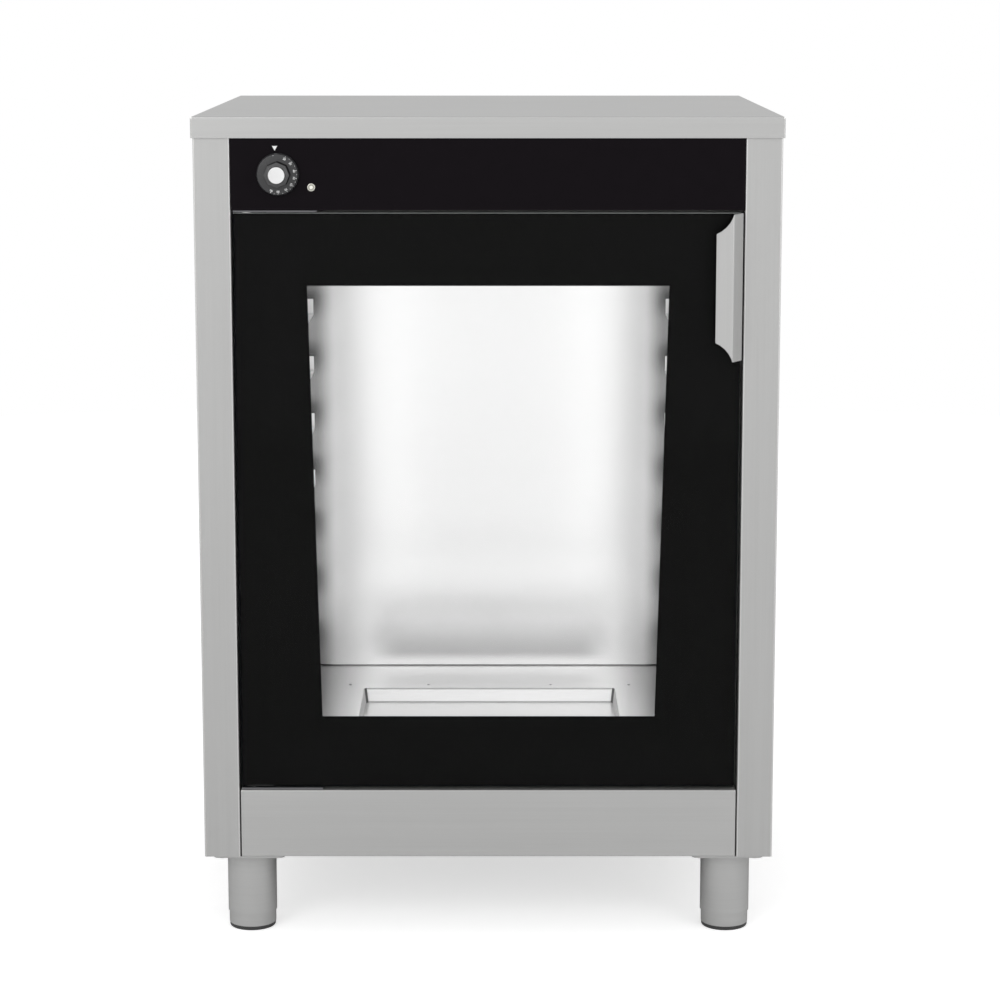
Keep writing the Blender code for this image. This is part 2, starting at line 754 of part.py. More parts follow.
def make_chamber_floor():
    """The floor sheet, with the water well pressed down into it."""
    across = CHAMBER_HALF + SHEET
    front = CHAMBER_FRONT_Y
    back = CHAMBER_BACK_Y + FIT_GAP + CHAMBER_FLANGE
    well_front, well_back = well_place()
    centre = (0, (well_front + well_back) / 2)
    half_depth = (well_back - well_front) / 2
    rim = rounded_rectangle(WELL_HALF, half_depth, WELL_CORNER_RADIUS, WELL_CORNER_STEPS, centre)
    bm = bmesh.new()
    loops = []
    for outline in (rectangle((-across, front), (across, back)), rim):
        verts = [bm.verts.new((x, y, CHAMBER_FLOOR)) for x, y in outline]
        loops.append([bm.edges.new(pair) for pair in zip(verts, verts[1:] + verts[:1])])
    bmesh.ops.triangle_fill(bm, use_beauty=True, edges=loops[0] + loops[1])
    walls = bmesh.ops.extrude_edge_only(bm, edges=loops[1])["geom"]
    lowered = [item for item in walls if isinstance(item, bmesh.types.BMVert)]
    bottom_edges = [item for item in walls if isinstance(item, bmesh.types.BMEdge)]
    bottom_edges = [edge for edge in bottom_edges if all(vert in lowered for vert in edge.verts)]
    for vert in lowered:
        vert.co.x *= (WELL_HALF - WELL_DRAFT) / WELL_HALF
        vert.co.y = centre[1] + (vert.co.y - centre[1]) * (half_depth - WELL_DRAFT) / half_depth
        vert.co.z -= WELL_DEPTH
    bmesh.ops.edgeloop_fill(bm, edges=bottom_edges)
    face_upwards(bm)
    floor = place("chamber_floor", mesh_from(bm, "chamber_floor"), "bright_steel")
    solidify(floor, SHEET)


def edge_middle(edge):
    """Return the middle of an edge."""
    return (edge.verts[0].co + edge.verts[1].co) / 2


def face_upwards(bm):
    """Give a surface normals that agree, with those of its largest level face pointing up."""
    bmesh.ops.recalc_face_normals(bm, faces=bm.faces)
    bm.normal_update()
    tread = max(bm.faces, key=lambda face: face.calc_area() * abs(face.normal.z))
    if tread.normal.z < 0:
        bmesh.ops.reverse_faces(bm, faces=bm.faces)


def make_runner(name, level_z, side):
    """One tray runner: an angle along the chamber wall, its rear end bent up as a stop."""
    wall = CHAMBER_HALF - FIT_GAP
    path = [(level_z, wall - RUNNER_REACH), (level_z, wall), (level_z - RUNNER_LEG, wall)]
    if side < 0:
        path = [(z, -x) for z, x in reversed(path)]
    start = CHAMBER_FRONT_Y + RUNNER_FRONT_SETBACK
    end = CHAMBER_BACK_Y - RUNNER_REAR_SETBACK
    bm = folded_bmesh(path, start, end, "Y")
    rear_top = Vector((side * wall, end, level_z))
    flat_edges = [edge for edge in bm.edges if abs(edge_middle(edge).z - level_z) < MERGE_DISTANCE]
    lip = min(flat_edges, key=lambda edge: (edge_middle(edge) - rear_top).length)
    grown = bmesh.ops.extrude_edge_only(bm, edges=[lip])["geom"]
    raised = [item for item in grown if isinstance(item, bmesh.types.BMVert)]
    bmesh.ops.translate(bm, verts=raised, vec=(0, 0, RUNNER_STOP_HEIGHT))
    face_upwards(bm)
    runner = place(name, mesh_from(bm, name), "bright_steel")
    solidify(runner, SHEET)


def make_runners():
    """The two rows of tray runners, one above the other."""
    for level in range(RUNNER_LEVELS):
        for side, word in ((-1, "left"), (1, "right")):
            make_runner(f"runner_{word}_{level + 1}", RUNNER_FIRST + level * RUNNER_PITCH, side)


def make_heater():
    """The tubular heater below the water well: a hairpin with two tails."""
    well_front, well_back = well_place()
    z = CHAMBER_FLOOR - WELL_DEPTH - SHEET - FIT_GAP - HEATER_DIAMETER / 2
    bend_y = well_front + HEATER_END_MARGIN + HEATER_HALF_SPREAD
    end_y = well_back - HEATER_END_MARGIN
    bend = arc((0, bend_y), HEATER_HALF_SPREAD, math.pi, 2 * math.pi, SMALL_ROUND_STEPS)
    left_tail = [(-HEATER_HALF_SPREAD, end_y), (-HEATER_HALF_SPREAD, end_y - HEATER_TAIL)]
    right_tail = [(HEATER_HALF_SPREAD, end_y - HEATER_TAIL), (HEATER_HALF_SPREAD, end_y)]
    points = [(x, y, z) for x, y in left_tail + bend + right_tail]
    tube("heating_element", points, HEATER_DIAMETER, "zinc_steel")


def make_terminal_block():
    """The supply terminals on top of the chamber, close to the gland."""
    centre_x = BODY_HALF - GLAND_SIDE_INSET - TERMINAL_WIDTH / 2
    back = CHAMBER_BACK_Y
    low = (centre_x - TERMINAL_WIDTH / 2, back - TERMINAL_DEPTH, CHAMBER_CEILING + SHEET + FIT_GAP)
    high = (centre_x + TERMINAL_WIDTH / 2, back, low[2] + TERMINAL_HEIGHT)
    block = box("terminal_block", low, high, "cream_plastic")
    pole_pitch = TERMINAL_WIDTH / TERMINAL_POLES
    reach = TERMINAL_SCREW_DEPTH + CUT_OVERRUN
    for pole in range(TERMINAL_POLES):
        x = low[0] + (pole + 1 / 2) * pole_pitch
        where = (x, back - TERMINAL_DEPTH / 2, high[2] - TERMINAL_SCREW_DEPTH)
        well = rod("terminal_well", TERMINAL_SCREW_DIAMETER, reach, where, "cream_plastic")
        combine(block, well, "DIFFERENCE")


def make_thermostat():
    """The thermostat behind the control panel, whose neck comes through it."""
    front = CONTROL_REAR_Y + FIT_GAP
    low = (KNOB_X - THERMOSTAT_WIDTH / 2, front, KNOB_Z - THERMOSTAT_HEIGHT / 2)
    high = (KNOB_X + THERMOSTAT_WIDTH / 2, front + THERMOSTAT_DEPTH, KNOB_Z + THERMOSTAT_HEIGHT / 2)
    body = box("thermostat_body", low, high, "zinc_steel", THERMOSTAT_EDGE)
    neck_start = (KNOB_X, front + THERMOSTAT_EDGE, KNOB_Z)
    neck_length = neck_start[1] - FACE_Y
    neck = rod("neck", THERMOSTAT_NECK_DIAMETER, neck_length, neck_start, "zinc_steel", "front")
    combine(body, neck, "UNION")
    bore_diameter = SHAFT_DIAMETER + 2 * SHAFT_RUNNING_GAP
    bore_length = SHAFT_REAR_REACH + FIT_GAP + CUT_OVERRUN
    bore_start = (KNOB_X, FACE_Y + SHAFT_REAR_REACH + FIT_GAP, KNOB_Z)
    bore = rod("shaft_bore", bore_diameter, bore_length, bore_start, "zinc_steel", "front")
    combine(body, bore, "DIFFERENCE")


def capillary_x():
    """Where the capillary comes down through the chamber's ceiling."""
    return -CHAMBER_HALF + CAPILLARY_SIDE_INSET


def bulb_y():
    """How far back the thermostat's bulb lies."""
    return CHAMBER_FRONT_Y + BULB_SETBACK


def make_thermostat_bulb():
    """The sensing bulb under the chamber's ceiling, and the capillary up to the thermostat."""
    bulb_z = CHAMBER_CEILING - FIT_GAP - BULB_DIAMETER / 2
    radius = BULB_DIAMETER / 2
    neck = CAPILLARY_DIAMETER / 2
    collar = (neck + radius) / 2
    start_x = capillary_x() + CAPILLARY_BEND_RADIUS
    length = BULB_LENGTH
    profile = [
        (0, length),
        (neck, length),
        (radius, length - radius / 2),
        (radius, BULB_NECK_LENGTH),
        (collar, 0),
        (0, 0),
    ]
    where = (start_x, bulb_y(), bulb_z)
    bulb = turned("thermostat_bulb", profile, where, "copper_tube", "right", SMALL_ROUND_STEPS)
    top_z = KNOB_Z
    body_back = CONTROL_REAR_Y + FIT_GAP + THERMOSTAT_DEPTH
    bend = CAPILLARY_BEND_RADIUS
    lower = arc((capillary_x() + bend, bulb_z + bend), bend, -math.pi / 2, -math.pi, SMALL_ROUND_STEPS)
    upper = arc((bulb_y() - bend, top_z - bend), bend, 0, math.pi / 2, SMALL_ROUND_STEPS)
    points = [(start_x + BULB_NECK_LENGTH / 2, bulb_y(), bulb_z)]
    points += [(x, bulb_y(), z) for x, z in lower]
    points += [(capillary_x(), y, z) for y, z in upper]
    points.append((capillary_x(), body_back + FIT_GAP, top_z))
    combine(bulb, meshed(tube("capillary", points, CAPILLARY_DIAMETER, "copper_tube")), "UNION")


def make_knob():
    """The dial with its eight-sided grip, the white cap and the shaft, all on the knob's axis."""
    dial_rear = FACE_Y - KNOB_STANDOFF
    radius = DIAL_DIAMETER / 2
    profile = [
        (0, DIAL_THICKNESS),
        (radius - DIAL_CHAMFER, DIAL_THICKNESS),
        (radius, DIAL_RIM),
        (radius, 0),
        (0, 0),
    ]
    knob = turned("thermostat_knob", profile, (KNOB_X, dial_rear, KNOB_Z), "dark_plastic", "front")
    bm = bmesh.new()
    bmesh.ops.create_cone(
        bm,
        cap_ends=True,
        segments=GRIP_SIDES,
        radius1=GRIP_BASE_DIAMETER / 2,
        radius2=GRIP_NOSE_DIAMETER / 2,
        depth=GRIP_HEIGHT + FIT_GAP,
    )
    bm.normal_update()
    nose = max(bm.faces, key=lambda face: face.normal.z)
    bmesh.ops.inset_region(bm, faces=[nose], thickness=GRIP_CHAMFER_WIDTH, depth=GRIP_CHAMFER_DEPTH)
    grip_y = dial_rear - DIAL_THICKNESS - (GRIP_HEIGHT - FIT_GAP) / 2
    grip = place("grip", mesh_from(bm, "grip"), "dark_plastic", (KNOB_X, grip_y, KNOB_Z))
    grip.rotation_euler = AXIS_TURNS["front"]
    combine(knob, grip, "UNION")
    bore_diameter = SHAFT_DIAMETER + 2 * FIT_GAP
    bore_start = (KNOB_X, dial_rear + CUT_OVERRUN, KNOB_Z)
    bore_length = KNOB_BORE_DEPTH + CUT_OVERRUN
    bore = rod("knob_bore", bore_diameter, bore_length, bore_start, "dark_plastic", "front")
    combine(knob, bore, "DIFFERENCE")

    cap_y = dial_rear - DIAL_THICKNESS - GRIP_HEIGHT - GRIP_CHAMFER_DEPTH - FIT_GAP
    cap_radius = CAP_DIAMETER / 2
    cap_height = CAP_THICKNESS - FIT_GAP
    cap_profile = [
        (0, cap_height),
        (cap_radius - CAP_EDGE, cap_height),
        (cap_radius, cap_height - CAP_EDGE),
        (cap_radius, 0),
        (0, 0),
    ]
    cap = turned("knob_cap", cap_profile, (KNOB_X, cap_y, KNOB_Z), "white_plastic", "front")

    shaft_front = dial_rear - KNOB_BORE_DEPTH + FIT_GAP
    shaft_start = (KNOB_X, FACE_Y + SHAFT_REAR_REACH, KNOB_Z)
    shaft_length = shaft_start[1] - shaft_front
    shaft = rod("thermostat_shaft", SHAFT_DIAMETER, shaft_length, shaft_start, "zinc_steel", "front")
    carry(empty_at("knob_axis", (KNOB_X, dial_rear, KNOB_Z)), (knob, cap, shaft))


def make_pilot_lamp():
    """The pilot lamp: a flanged body through the fascia, with a domed lens in its mouth."""
    flange = LAMP_FLANGE_DIAMETER / 2
    body = LAMP_BODY_DIAMETER / 2
    lens = LAMP_LENS_DIAMETER / 2
    mouth = lens + FIT_GAP
    seat = FIT_GAP
    face = seat + LAMP_FLANGE_THICKNESS
    profile = [
        (0, face - LAMP_LENS_DEPTH),
        (mouth, face - LAMP_LENS_DEPTH),
        (mouth, face),
        (flange - LAMP_FLANGE_THICKNESS / 2, face),
        (flange, seat + LAMP_FLANGE_THICKNESS / 2),
        (flange, seat),
        (body, seat),
        (body, -LAMP_BODY_LENGTH),
        (0, -LAMP_BODY_LENGTH),
    ]
    where = (LAMP_X, FACE_Y, LAMP_Z)
    turned("pilot_lamp_body", profile, where, "bright_steel", "front")
    rear = face - LAMP_LENS_DEPTH + FIT_GAP
    quarter = arc((0, 0), 1, math.pi / 2, 0, LAMP_DOME_STEPS)
    dome = [(lens * across, face + LAMP_LENS_DOME * rise) for across, rise in quarter]
    lens_profile = dome + [(lens, rear), (0, rear)]
    turned("pilot_lamp_lens", lens_profile, where, "lamp_lens", "front")


def make_door_glass():
    """The pane, whose upright edges are rounded, and the black border printed on its back."""
    low = (DOOR_LEFT, FACE_Y, DOOR_BOTTOM)
    high = (GLASS_RIGHT, FACE_Y + GLASS_THICKNESS, DOOR_TOP)
    bm = cube_bmesh(low, high)
    glass = place("door_glass", mesh_from(bm, "door_glass"), "clear_glass")
    round_edges(glass, GLASS_EDGE_RADIUS)
    edge = GLASS_EDGE_RADIUS
    border = rectangle((low[0] + edge, low[2] + edge), (high[0] - edge, high[2] - edge))
    outlines = [border, window_outline()]
    printed = flat_plate("door_glass_border", outlines, PRINT_THICKNESS, "Y", PRINT_Y, "black_print")
    return glass, printed


def window_outline():
    """The clear window, wider at the top than at the bottom."""
    top = DOOR_TOP - WINDOW_TOP_MARGIN
    bottom = DOOR_BOTTOM + WINDOW_BOTTOM_MARGIN
    half_door = (DOOR_RIGHT - DOOR_LEFT) / 2
    half_top = half_door - WINDOW_TOP_SIDE_MARGIN
    half_bottom = half_door - WINDOW_BOTTOM_SIDE_MARGIN
    path = [(-half_top, top), (-half_bottom, bottom), (half_bottom, bottom), (half_top, top)]
    return [(DOOR_CENTRE + x, z) for x, z in path]


def make_door_frame():
    """The folded steel frame behind the glass: a channel that is open towards the pane."""
    low = (DOOR_LEFT, DOOR_FRAME_Y, DOOR_BOTTOM)
    high = (GLASS_RIGHT, DOOR_REAR_Y, DOOR_TOP)
    bm = cube_bmesh(low, high)
    bm.normal_update()
    front = min(bm.faces, key=lambda face: face.normal.y)
    bmesh.ops.delete(bm, geom=[front], context="FACES_ONLY")
    rear = max(bm.faces, key=lambda face: face.normal.y)
    bmesh.ops.inset_region(bm, faces=[rear], thickness=DOOR_FRAME_RIM)
    lip_edges = list(rear.edges)
    bmesh.ops.delete(bm, geom=[rear], context="FACES_ONLY")
    grown = bmesh.ops.extrude_edge_only(bm, edges=lip_edges)["geom"]
    lip = [item for item in grown if isinstance(item, bmesh.types.BMVert)]
    bmesh.ops.translate(bm, verts=lip, vec=(0, -DOOR_FRAME_LIP, 0))
    bmesh.ops.recalc_face_normals(bm, faces=bm.faces)
    bm.normal_update()
    rim = max(bm.faces, key=lambda face: face.calc_area() * abs(face.normal.y))
    if rim.normal.y < 0:
        bmesh.ops.reverse_faces(bm, faces=bm.faces)
    frame = place("door_frame", mesh_from(bm, "door_frame"), "satin_steel")
    round_edges(frame, BEND_RADIUS)
    solidify(frame, SHEET)
    for level in (-1, 1):
        cut_low, cut_high = hinge_block_box(level, FIT_GAP)
        combine(frame, box("hinge_notch", cut_low, cut_high, "satin_steel"), "DIFFERENCE")
    return frame


def hinge_block_box(level, clearance=0):
    """Corners of the hinge block in the door's upper (1) or lower (-1) corner."""
    left = HINGE_X - HINGE_BLOCK_WIDTH / 2 + HINGE_SIDE_INSET / 2
    front = DOOR_FRAME_Y
    end_z = DOOR_TOP if level > 0 else DOOR_BOTTOM
    inner_z = end_z - level * HINGE_BLOCK_HEIGHT
    low = (left - clearance, front - clearance, min(end_z, inner_z) - clearance)
    high = (
        left + HINGE_BLOCK_WIDTH + clearance,
        front + HINGE_BLOCK_DEPTH + clearance,
        max(end_z, inner_z) + clearance,
    )
    return low, high


def make_hinges():
    """Both hinges: a plate with a welded pin on the cabinet, and a bored block in the door."""
    blocks = []
    for level, word in ((1, "upper"), (-1, "lower")):
        if level > 0:
            plate_z = FASCIA_BOTTOM - FIT_GAP - HINGE_PLATE_THICKNESS
            pin_low = DOOR_TOP - HINGE_PIN_REACH
            pin_high = plate_z + HINGE_PLATE_THICKNESS / 2
            bore_low = pin_low - HINGE_BORE_END_ROOM
        else:
            plate_z = PLINTH_TOP + FIT_GAP
            pin_low = plate_z + HINGE_PLATE_THICKNESS / 2
            pin_high = DOOR_BOTTOM + HINGE_PIN_REACH
            bore_low = DOOR_BOTTOM - CUT_OVERRUN
        left = DOOR_LEFT
        right = left + HINGE_PLATE_LENGTH
        front = FACE_Y + HINGE_PLATE_FRONT_SETBACK
        back = front + HINGE_PLATE_DEPTH
        outline = [(left, front), (right - HINGE_PLATE_SLANT, front), (right, back), (left, back)]
        sheet = flat_plate("sheet", [outline], HINGE_PLATE_THICKNESS, "Z", plate_z, "zinc_steel")
        where = (HINGE_X, HINGE_Y, pin_low)
        pin = rod(f"hinge_plate_{word}", HINGE_PIN_DIAMETER, pin_high - pin_low, where, "zinc_steel")
        combine(pin, meshed(sheet), "UNION")
        low, high = hinge_block_box(level)
        block = box(f"hinge_block_{word}", low, high, "dark_plastic")
        bore_diameter = HINGE_PIN_DIAMETER + 2 * HINGE_BORE_CLEARANCE
        bore_length = HINGE_PIN_REACH + HINGE_BORE_END_ROOM + CUT_OVERRUN
        bore_start = (HINGE_X, HINGE_Y, bore_low)
        bore = rod("hinge_bore", bore_diameter, bore_length, bore_start, "dark_plastic")
        combine(block, bore, "DIFFERENCE")
        blocks.append(block)
    return blocks


def make_door_gasket():
    """The soft seal between the door's frame and the front frame."""
    free_depth = FRONT_FRAME_Y - DOOR_REAR_Y
    diameter = free_depth - 2 * FIT_GAP
    half_width = (GLASS_RIGHT - DOOR_LEFT) / 2 - GASKET_INSET
    half_height = (DOOR_TOP - DOOR_BOTTOM) / 2 - GASKET_INSET
    centre = ((GLASS_RIGHT + DOOR_LEFT) / 2, (DOOR_TOP + DOOR_BOTTOM) / 2)
    outline = rounded_rectangle(half_width, half_height, GASKET_CORNER_RADIUS, BEND_STEPS, centre)
    y = DOOR_REAR_Y + free_depth / 2
    return tube("door_gasket", [(x, y, z) for x, z in outline], diameter, "grey_rubber", closed=True)


def scallop_centre():
    """Centre of the arc across a free corner: its distance from the grip's edge and past the end."""
    chord = Vector((HANDLE_GRIP_WIDTH, HANDLE_SCALLOP_HEIGHT))
    reach = math.sqrt(HANDLE_SCALLOP_RADIUS ** 2 - chord.length_squared / 4)
    middle = chord / 2 + Vector((-chord.y, chord.x)).normalized() * reach
    return middle.x, middle.y - HANDLE_SCALLOP_HEIGHT


def make_door_handle():
    """The folded handle: its leg wraps the door's edge, and arcs bite its two free corners."""
    right = DOOR_RIGHT
    bend_x = right - HANDLE_SLANT_WIDTH
    front = FACE_Y - HANDLE_PROUD
    path = [
        (bend_x - HANDLE_GRIP_WIDTH, front),
        (bend_x, front),
        (right, FACE_Y),
        (right, FACE_Y + HANDLE_LEG),
    ]
    top = DOOR_TOP - HANDLE_TOP_DROP
    bottom = top - HANDLE_HEIGHT
    handle = folded_sheet("door_handle", path, bottom, top, "Z", "satin_steel", HANDLE_SHEET)
    reach = 2 * CUT_OVERRUN + HANDLE_SHEET
    aside, past = scallop_centre()
    for z in (bottom - past, top + past):
        where = (bend_x - HANDLE_GRIP_WIDTH + aside, front + HANDLE_SHEET + CUT_OVERRUN, z)
        scallop = rod("scallop", 2 * HANDLE_SCALLOP_RADIUS, reach, where, "satin_steel", "front")
        combine(handle, scallop, "DIFFERENCE")
    for share in HANDLE_HOLE_PLACE_SHARES:
        x = right - HANDLE_SHEET - CUT_OVERRUN
        where = (x, FACE_Y + HANDLE_LEG / 2, bottom + share * HANDLE_HEIGHT)
        hole = rod("screw_hole", SCREW_HOLE_DIAMETER, reach, where, "satin_steel", "right")
        combine(handle, hole, "DIFFERENCE")
    return handle


def make_door():
    """The whole door, carried by an empty on the hinge axis."""
    pieces = [*make_door_glass(), make_door_frame(), make_door_gasket(), make_door_handle()]
    pieces += make_hinges()
    carry(empty_at("door_axis", (HINGE_X, HINGE_Y, DOOR_BOTTOM)), pieces)


def leg_places():
    """Name and centre of each leg."""
    return [
        ("front_left", -LEG_X, LEG_FRONT_Y),
        ("front_right", LEG_X, LEG_FRONT_Y),
        ("rear_left", -LEG_X, LEG_REAR_Y),
        ("rear_right", LEG_X, LEG_REAR_Y),
    ]


def leg_screw_places(x, y):
    """Places of the four screws in one leg's plate."""
    reach = LEG_PLATE_WIDTH / 2 - LEG_SCREW_EDGE
    return [(x + i * reach, y + j * reach) for i in (-1, 1) for j in (-1, 1)]


def make_leg(name, x, y):
    """One leg: a plate that screws under the body, with the sleeve for its foot."""
    plate_z = LEG_HEIGHT - LEG_PLATE_THICKNESS
    half = LEG_PLATE_WIDTH / 2
    outline = rounded_rectangle(half, half, LEG_PLATE_CORNER, BEND_STEPS, (x, y))
    holes = [circle(spot, SCREW_HOLE_DIAMETER, SMALL_ROUND_STEPS) for spot in leg_screw_places(x, y)]
    plate = flat_plate("plate", [outline, *holes], LEG_PLATE_THICKNESS, "Z", plate_z, "satin_steel")
    outer = LEG_TUBE_DIAMETER / 2
    inner = outer - LEG_TUBE_WALL
    high = plate_z + LEG_PLATE_THICKNESS / 2 - LEG_TUBE_RISE
    profile = [(inner, 0), (inner, high), (outer, high), (outer, 0), (inner, 0)]
    leg = turned(f"leg_{name}", profile, (x, y, LEG_TUBE_RISE), "satin_steel")
    combine(leg, meshed(plate), "UNION")


def meshed(curve_part):
    """Turn a flat curve part into a closed mesh, so that a Boolean can use it."""
    bpy.context.view_layer.update()
    depsgraph = bpy.context.evaluated_depsgraph_get()
    mesh = bpy.data.meshes.new_from_object(curve_part.evaluated_get(depsgraph))
    bm = bmesh.new()
    bm.from_mesh(mesh)
    bmesh.ops.remove_doubles(bm, verts=bm.verts, dist=MERGE_DISTANCE)
    bm.to_mesh(mesh)
    bm.free()
    solid = bpy.data.objects.new(curve_part.name, mesh)
    solid.matrix_world = curve_part.matrix_world
    PARTS.objects.link(solid)
    bpy.data.objects.remove(curve_part, do_unlink=True)
    return solid


def make_foot(name, x, y):
    """One adjustable foot: a cup that slides in the sleeve, with a stud in its middle."""
    outer = LEG_TUBE_DIAMETER / 2 - LEG_TUBE_WALL - FOOT_SLIDE_GAP
    inner = outer - FOOT_WALL
    stud = FOOT_STUD_DIAMETER / 2
    edge = FOOT_EDGE_RADIUS
    sole_edge = arc((outer - edge, edge), edge, 0, -math.pi / 2, BEND_STEPS)
    profile = [
        (0, FOOT_HEIGHT),
        (stud, FOOT_HEIGHT),
        (stud, FOOT_FLOOR),
        (inner, FOOT_FLOOR),
        (inner, FOOT_HEIGHT),
        (outer, FOOT_HEIGHT),
        *sole_edge,
        (0, 0),
    ]
    foot = turned(f"foot_{name}", profile, (x, y, 0), "satin_steel")
    carry(empty_at(f"foot_axis_{name}", (x, y, 0)), (foot,))


def make_legs():
    """All four legs with their feet."""
    for name, x, y in leg_places():
        make_leg(name, x, y)
        make_foot(name, x, y)


def make_cabinet():
    """Make every piece, from the body outwards."""
    make_worktop()
    make_side_panels()
    make_back_panel()
    make_cable_gland()
    make_base_panel()
    make_plinth_panel()
    make_front_frame()
    make_control_panel()
    make_control_fascia()
    make_chamber_walls()
    make_chamber_floor()
    make_runners()
    make_heater()
    make_terminal_block()
    make_thermostat()
    make_thermostat_bulb()
    make_knob()
    make_pilot_lamp()
    make_door()
    make_legs()


make_cabinet()
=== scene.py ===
"""Looks of the under-counter proofing cabinet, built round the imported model.

Units are metres, +Z is up and the front faces -Y, as in the frame. Every CAD node gets a finish,
either on itself or on a smooth skin that stands for it. The knob, the pilot lamp and the feet are
made anew, and screws, rivets, washers and prints are added. The studio comes last.
"""

import json
import math

import bmesh
import bpy
from mathutils import Matrix, Vector

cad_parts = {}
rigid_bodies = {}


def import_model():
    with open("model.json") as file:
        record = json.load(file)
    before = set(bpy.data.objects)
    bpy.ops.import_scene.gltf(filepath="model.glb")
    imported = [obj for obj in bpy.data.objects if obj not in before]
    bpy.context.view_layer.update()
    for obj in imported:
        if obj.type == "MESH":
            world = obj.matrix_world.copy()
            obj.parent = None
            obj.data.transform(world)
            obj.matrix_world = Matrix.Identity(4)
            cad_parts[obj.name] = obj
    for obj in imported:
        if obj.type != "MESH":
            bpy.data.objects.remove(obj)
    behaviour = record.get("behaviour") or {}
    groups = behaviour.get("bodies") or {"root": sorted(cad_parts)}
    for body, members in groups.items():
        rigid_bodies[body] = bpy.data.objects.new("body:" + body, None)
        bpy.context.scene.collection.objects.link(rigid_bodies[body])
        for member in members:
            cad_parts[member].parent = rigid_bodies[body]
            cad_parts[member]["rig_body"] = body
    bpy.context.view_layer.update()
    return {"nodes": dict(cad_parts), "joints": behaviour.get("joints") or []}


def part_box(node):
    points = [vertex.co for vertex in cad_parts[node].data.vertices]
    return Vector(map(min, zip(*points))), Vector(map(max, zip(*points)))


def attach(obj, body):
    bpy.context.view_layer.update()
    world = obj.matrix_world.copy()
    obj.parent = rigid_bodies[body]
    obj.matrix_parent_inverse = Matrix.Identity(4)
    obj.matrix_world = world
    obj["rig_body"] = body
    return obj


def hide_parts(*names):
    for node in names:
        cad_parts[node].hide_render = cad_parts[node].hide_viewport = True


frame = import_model()
NODES = frame["nodes"]

# Camera, fitted to the outline in the photograph
CAMERA_X = 0.0123
CAMERA_Z = 0.9913
CAMERA_DISTANCE = 2.9
CAMERA_PITCH = 0.1681
CAMERA_LENS = 103.0
CAMERA_SENSOR = 36.0
CAMERA_SHIFT_Y = -0.03

# Planes and axes, read from the frame
FACE_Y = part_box("control_fascia")[0].y
KNOB_SEAT = sum(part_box("thermostat_shaft"), Vector()) / 2
KNOB_SEAT.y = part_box("thermostat_knob")[1].y
CAP_CENTRE = sum(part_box("knob_cap"), Vector()) / 2
LAMP_CENTRE = sum(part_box("pilot_lamp_body"), Vector()) / 2
HINGE_X, HINGE_Y = next(
    joint["pos_m"][:2] for joint in frame["joints"] if joint["name"] == "door_hinge"
)

# Shading
SMOOTH_ANGLE = math.radians(38)
WELD_DISTANCE = 0.00001
BEND_NORMAL_LIMIT = 0.995
BEND_STRIP_WIDTH = 0.0012
FACING_LIMIT = 0.9
UPRIGHT_LIMIT = 0.5
ROUND_STEPS = 96
FINE_STEPS = 48
SMALL_STEPS = 32
DECAL_GAP = 0.00005
DECAL_THICKNESS = 0.00004


# Helpers for meshes and pieces


def link(name, data):
    """Put data into the scene as a new object."""
    made = bpy.data.objects.new(name, data)
    bpy.context.scene.collection.objects.link(made)
    return made


def mesh_of(name, bm):
    """Turn a bmesh into a mesh and free it."""
    mesh = bpy.data.meshes.new(name)
    bm.to_mesh(mesh)
    bm.free()
    return mesh


def shade(mesh):
    """Shade a mesh smooth, but for its sharper edges."""
    mesh.shade_smooth()
    mesh.set_sharp_from_angle(angle=SMOOTH_ANGLE)


def weighted(piece):
    """Let large faces keep their own normals beside small rounded edges."""
    modifier = piece.modifiers.new("normals", "WEIGHTED_NORMAL")
    modifier.keep_sharp = True


def slot_of(node):
    """The material slot that the record gives to a node."""
    return NODES[node].data.materials[0].name


def body_of(node):
    """The body that a node rides on."""
    return NODES[node]["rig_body"]


SLOTS = {node: slot_of(node) for node in NODES}


def settle(piece, body, slot, material, *replaced):
    """Give a piece its material, let it ride on a body and stand for nodes. The slot is not used."""
    piece.data.materials.clear()
    piece.data.materials.append(material)
    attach(piece, body)
    if replaced:
        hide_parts(*replaced)


def pick_materials(mesh, others, picked):
    """Give a mesh more materials. A function of the mesh and a face returns a material's number."""
    if not others:
        return
    for material in others:
        mesh.materials.append(material)
    for face in mesh.polygons:
        face.material_index = int(picked(mesh, face))


def dressed(node, material, *others, picked=None):
    """Copy a node's mesh into a welded piece with smooth bends, which stands for the node.

    Other materials go on the faces for which a function returns their numbers.
    """
    bm = bmesh.new()
    bm.from_mesh(NODES[node].data)
    bmesh.ops.remove_doubles(bm, verts=bm.verts, dist=WELD_DISTANCE)
    mesh = mesh_of(f"{node}_skin", bm)
    custom = mesh.attributes.get("custom_normal")
    if custom:
        mesh.attributes.remove(custom)
    shade(mesh)
    piece = link(f"{node}_skin", mesh)
    weighted(piece)
    settle(piece, body_of(node), SLOTS[node], material, node)
    pick_materials(mesh, others, picked)


def is_bend(mesh, face):
    """Whether a face is one of the narrow strips of a rounded bend."""
    if max(abs(axis) for axis in face.normal) > BEND_NORMAL_LIMIT:
        return False
    corners = [mesh.vertices[index].co for index in face.vertices]
    longest = max((a - b).length for a, b in zip(corners, corners[1:] + corners[:1]))
    return 2 * face.area / longest < BEND_STRIP_WIDTH


def is_front(mesh, face):
    """Whether a face looks forwards."""
    return face.normal.y < -FACING_LIMIT


def is_upright(mesh, face):
    """Whether a face stands upright."""
    return abs(face.normal.z) < UPRIGHT_LIMIT


def is_pane_edge(mesh, face):
    """Whether a face of the pane looks neither forwards nor backwards."""
    return abs(face.normal.y) < FACING_LIMIT


def painted(node, material):
    """Leave a node as it is and give it a better material."""
    NODES[node].data.materials.clear()
    NODES[node].data.materials.append(material)


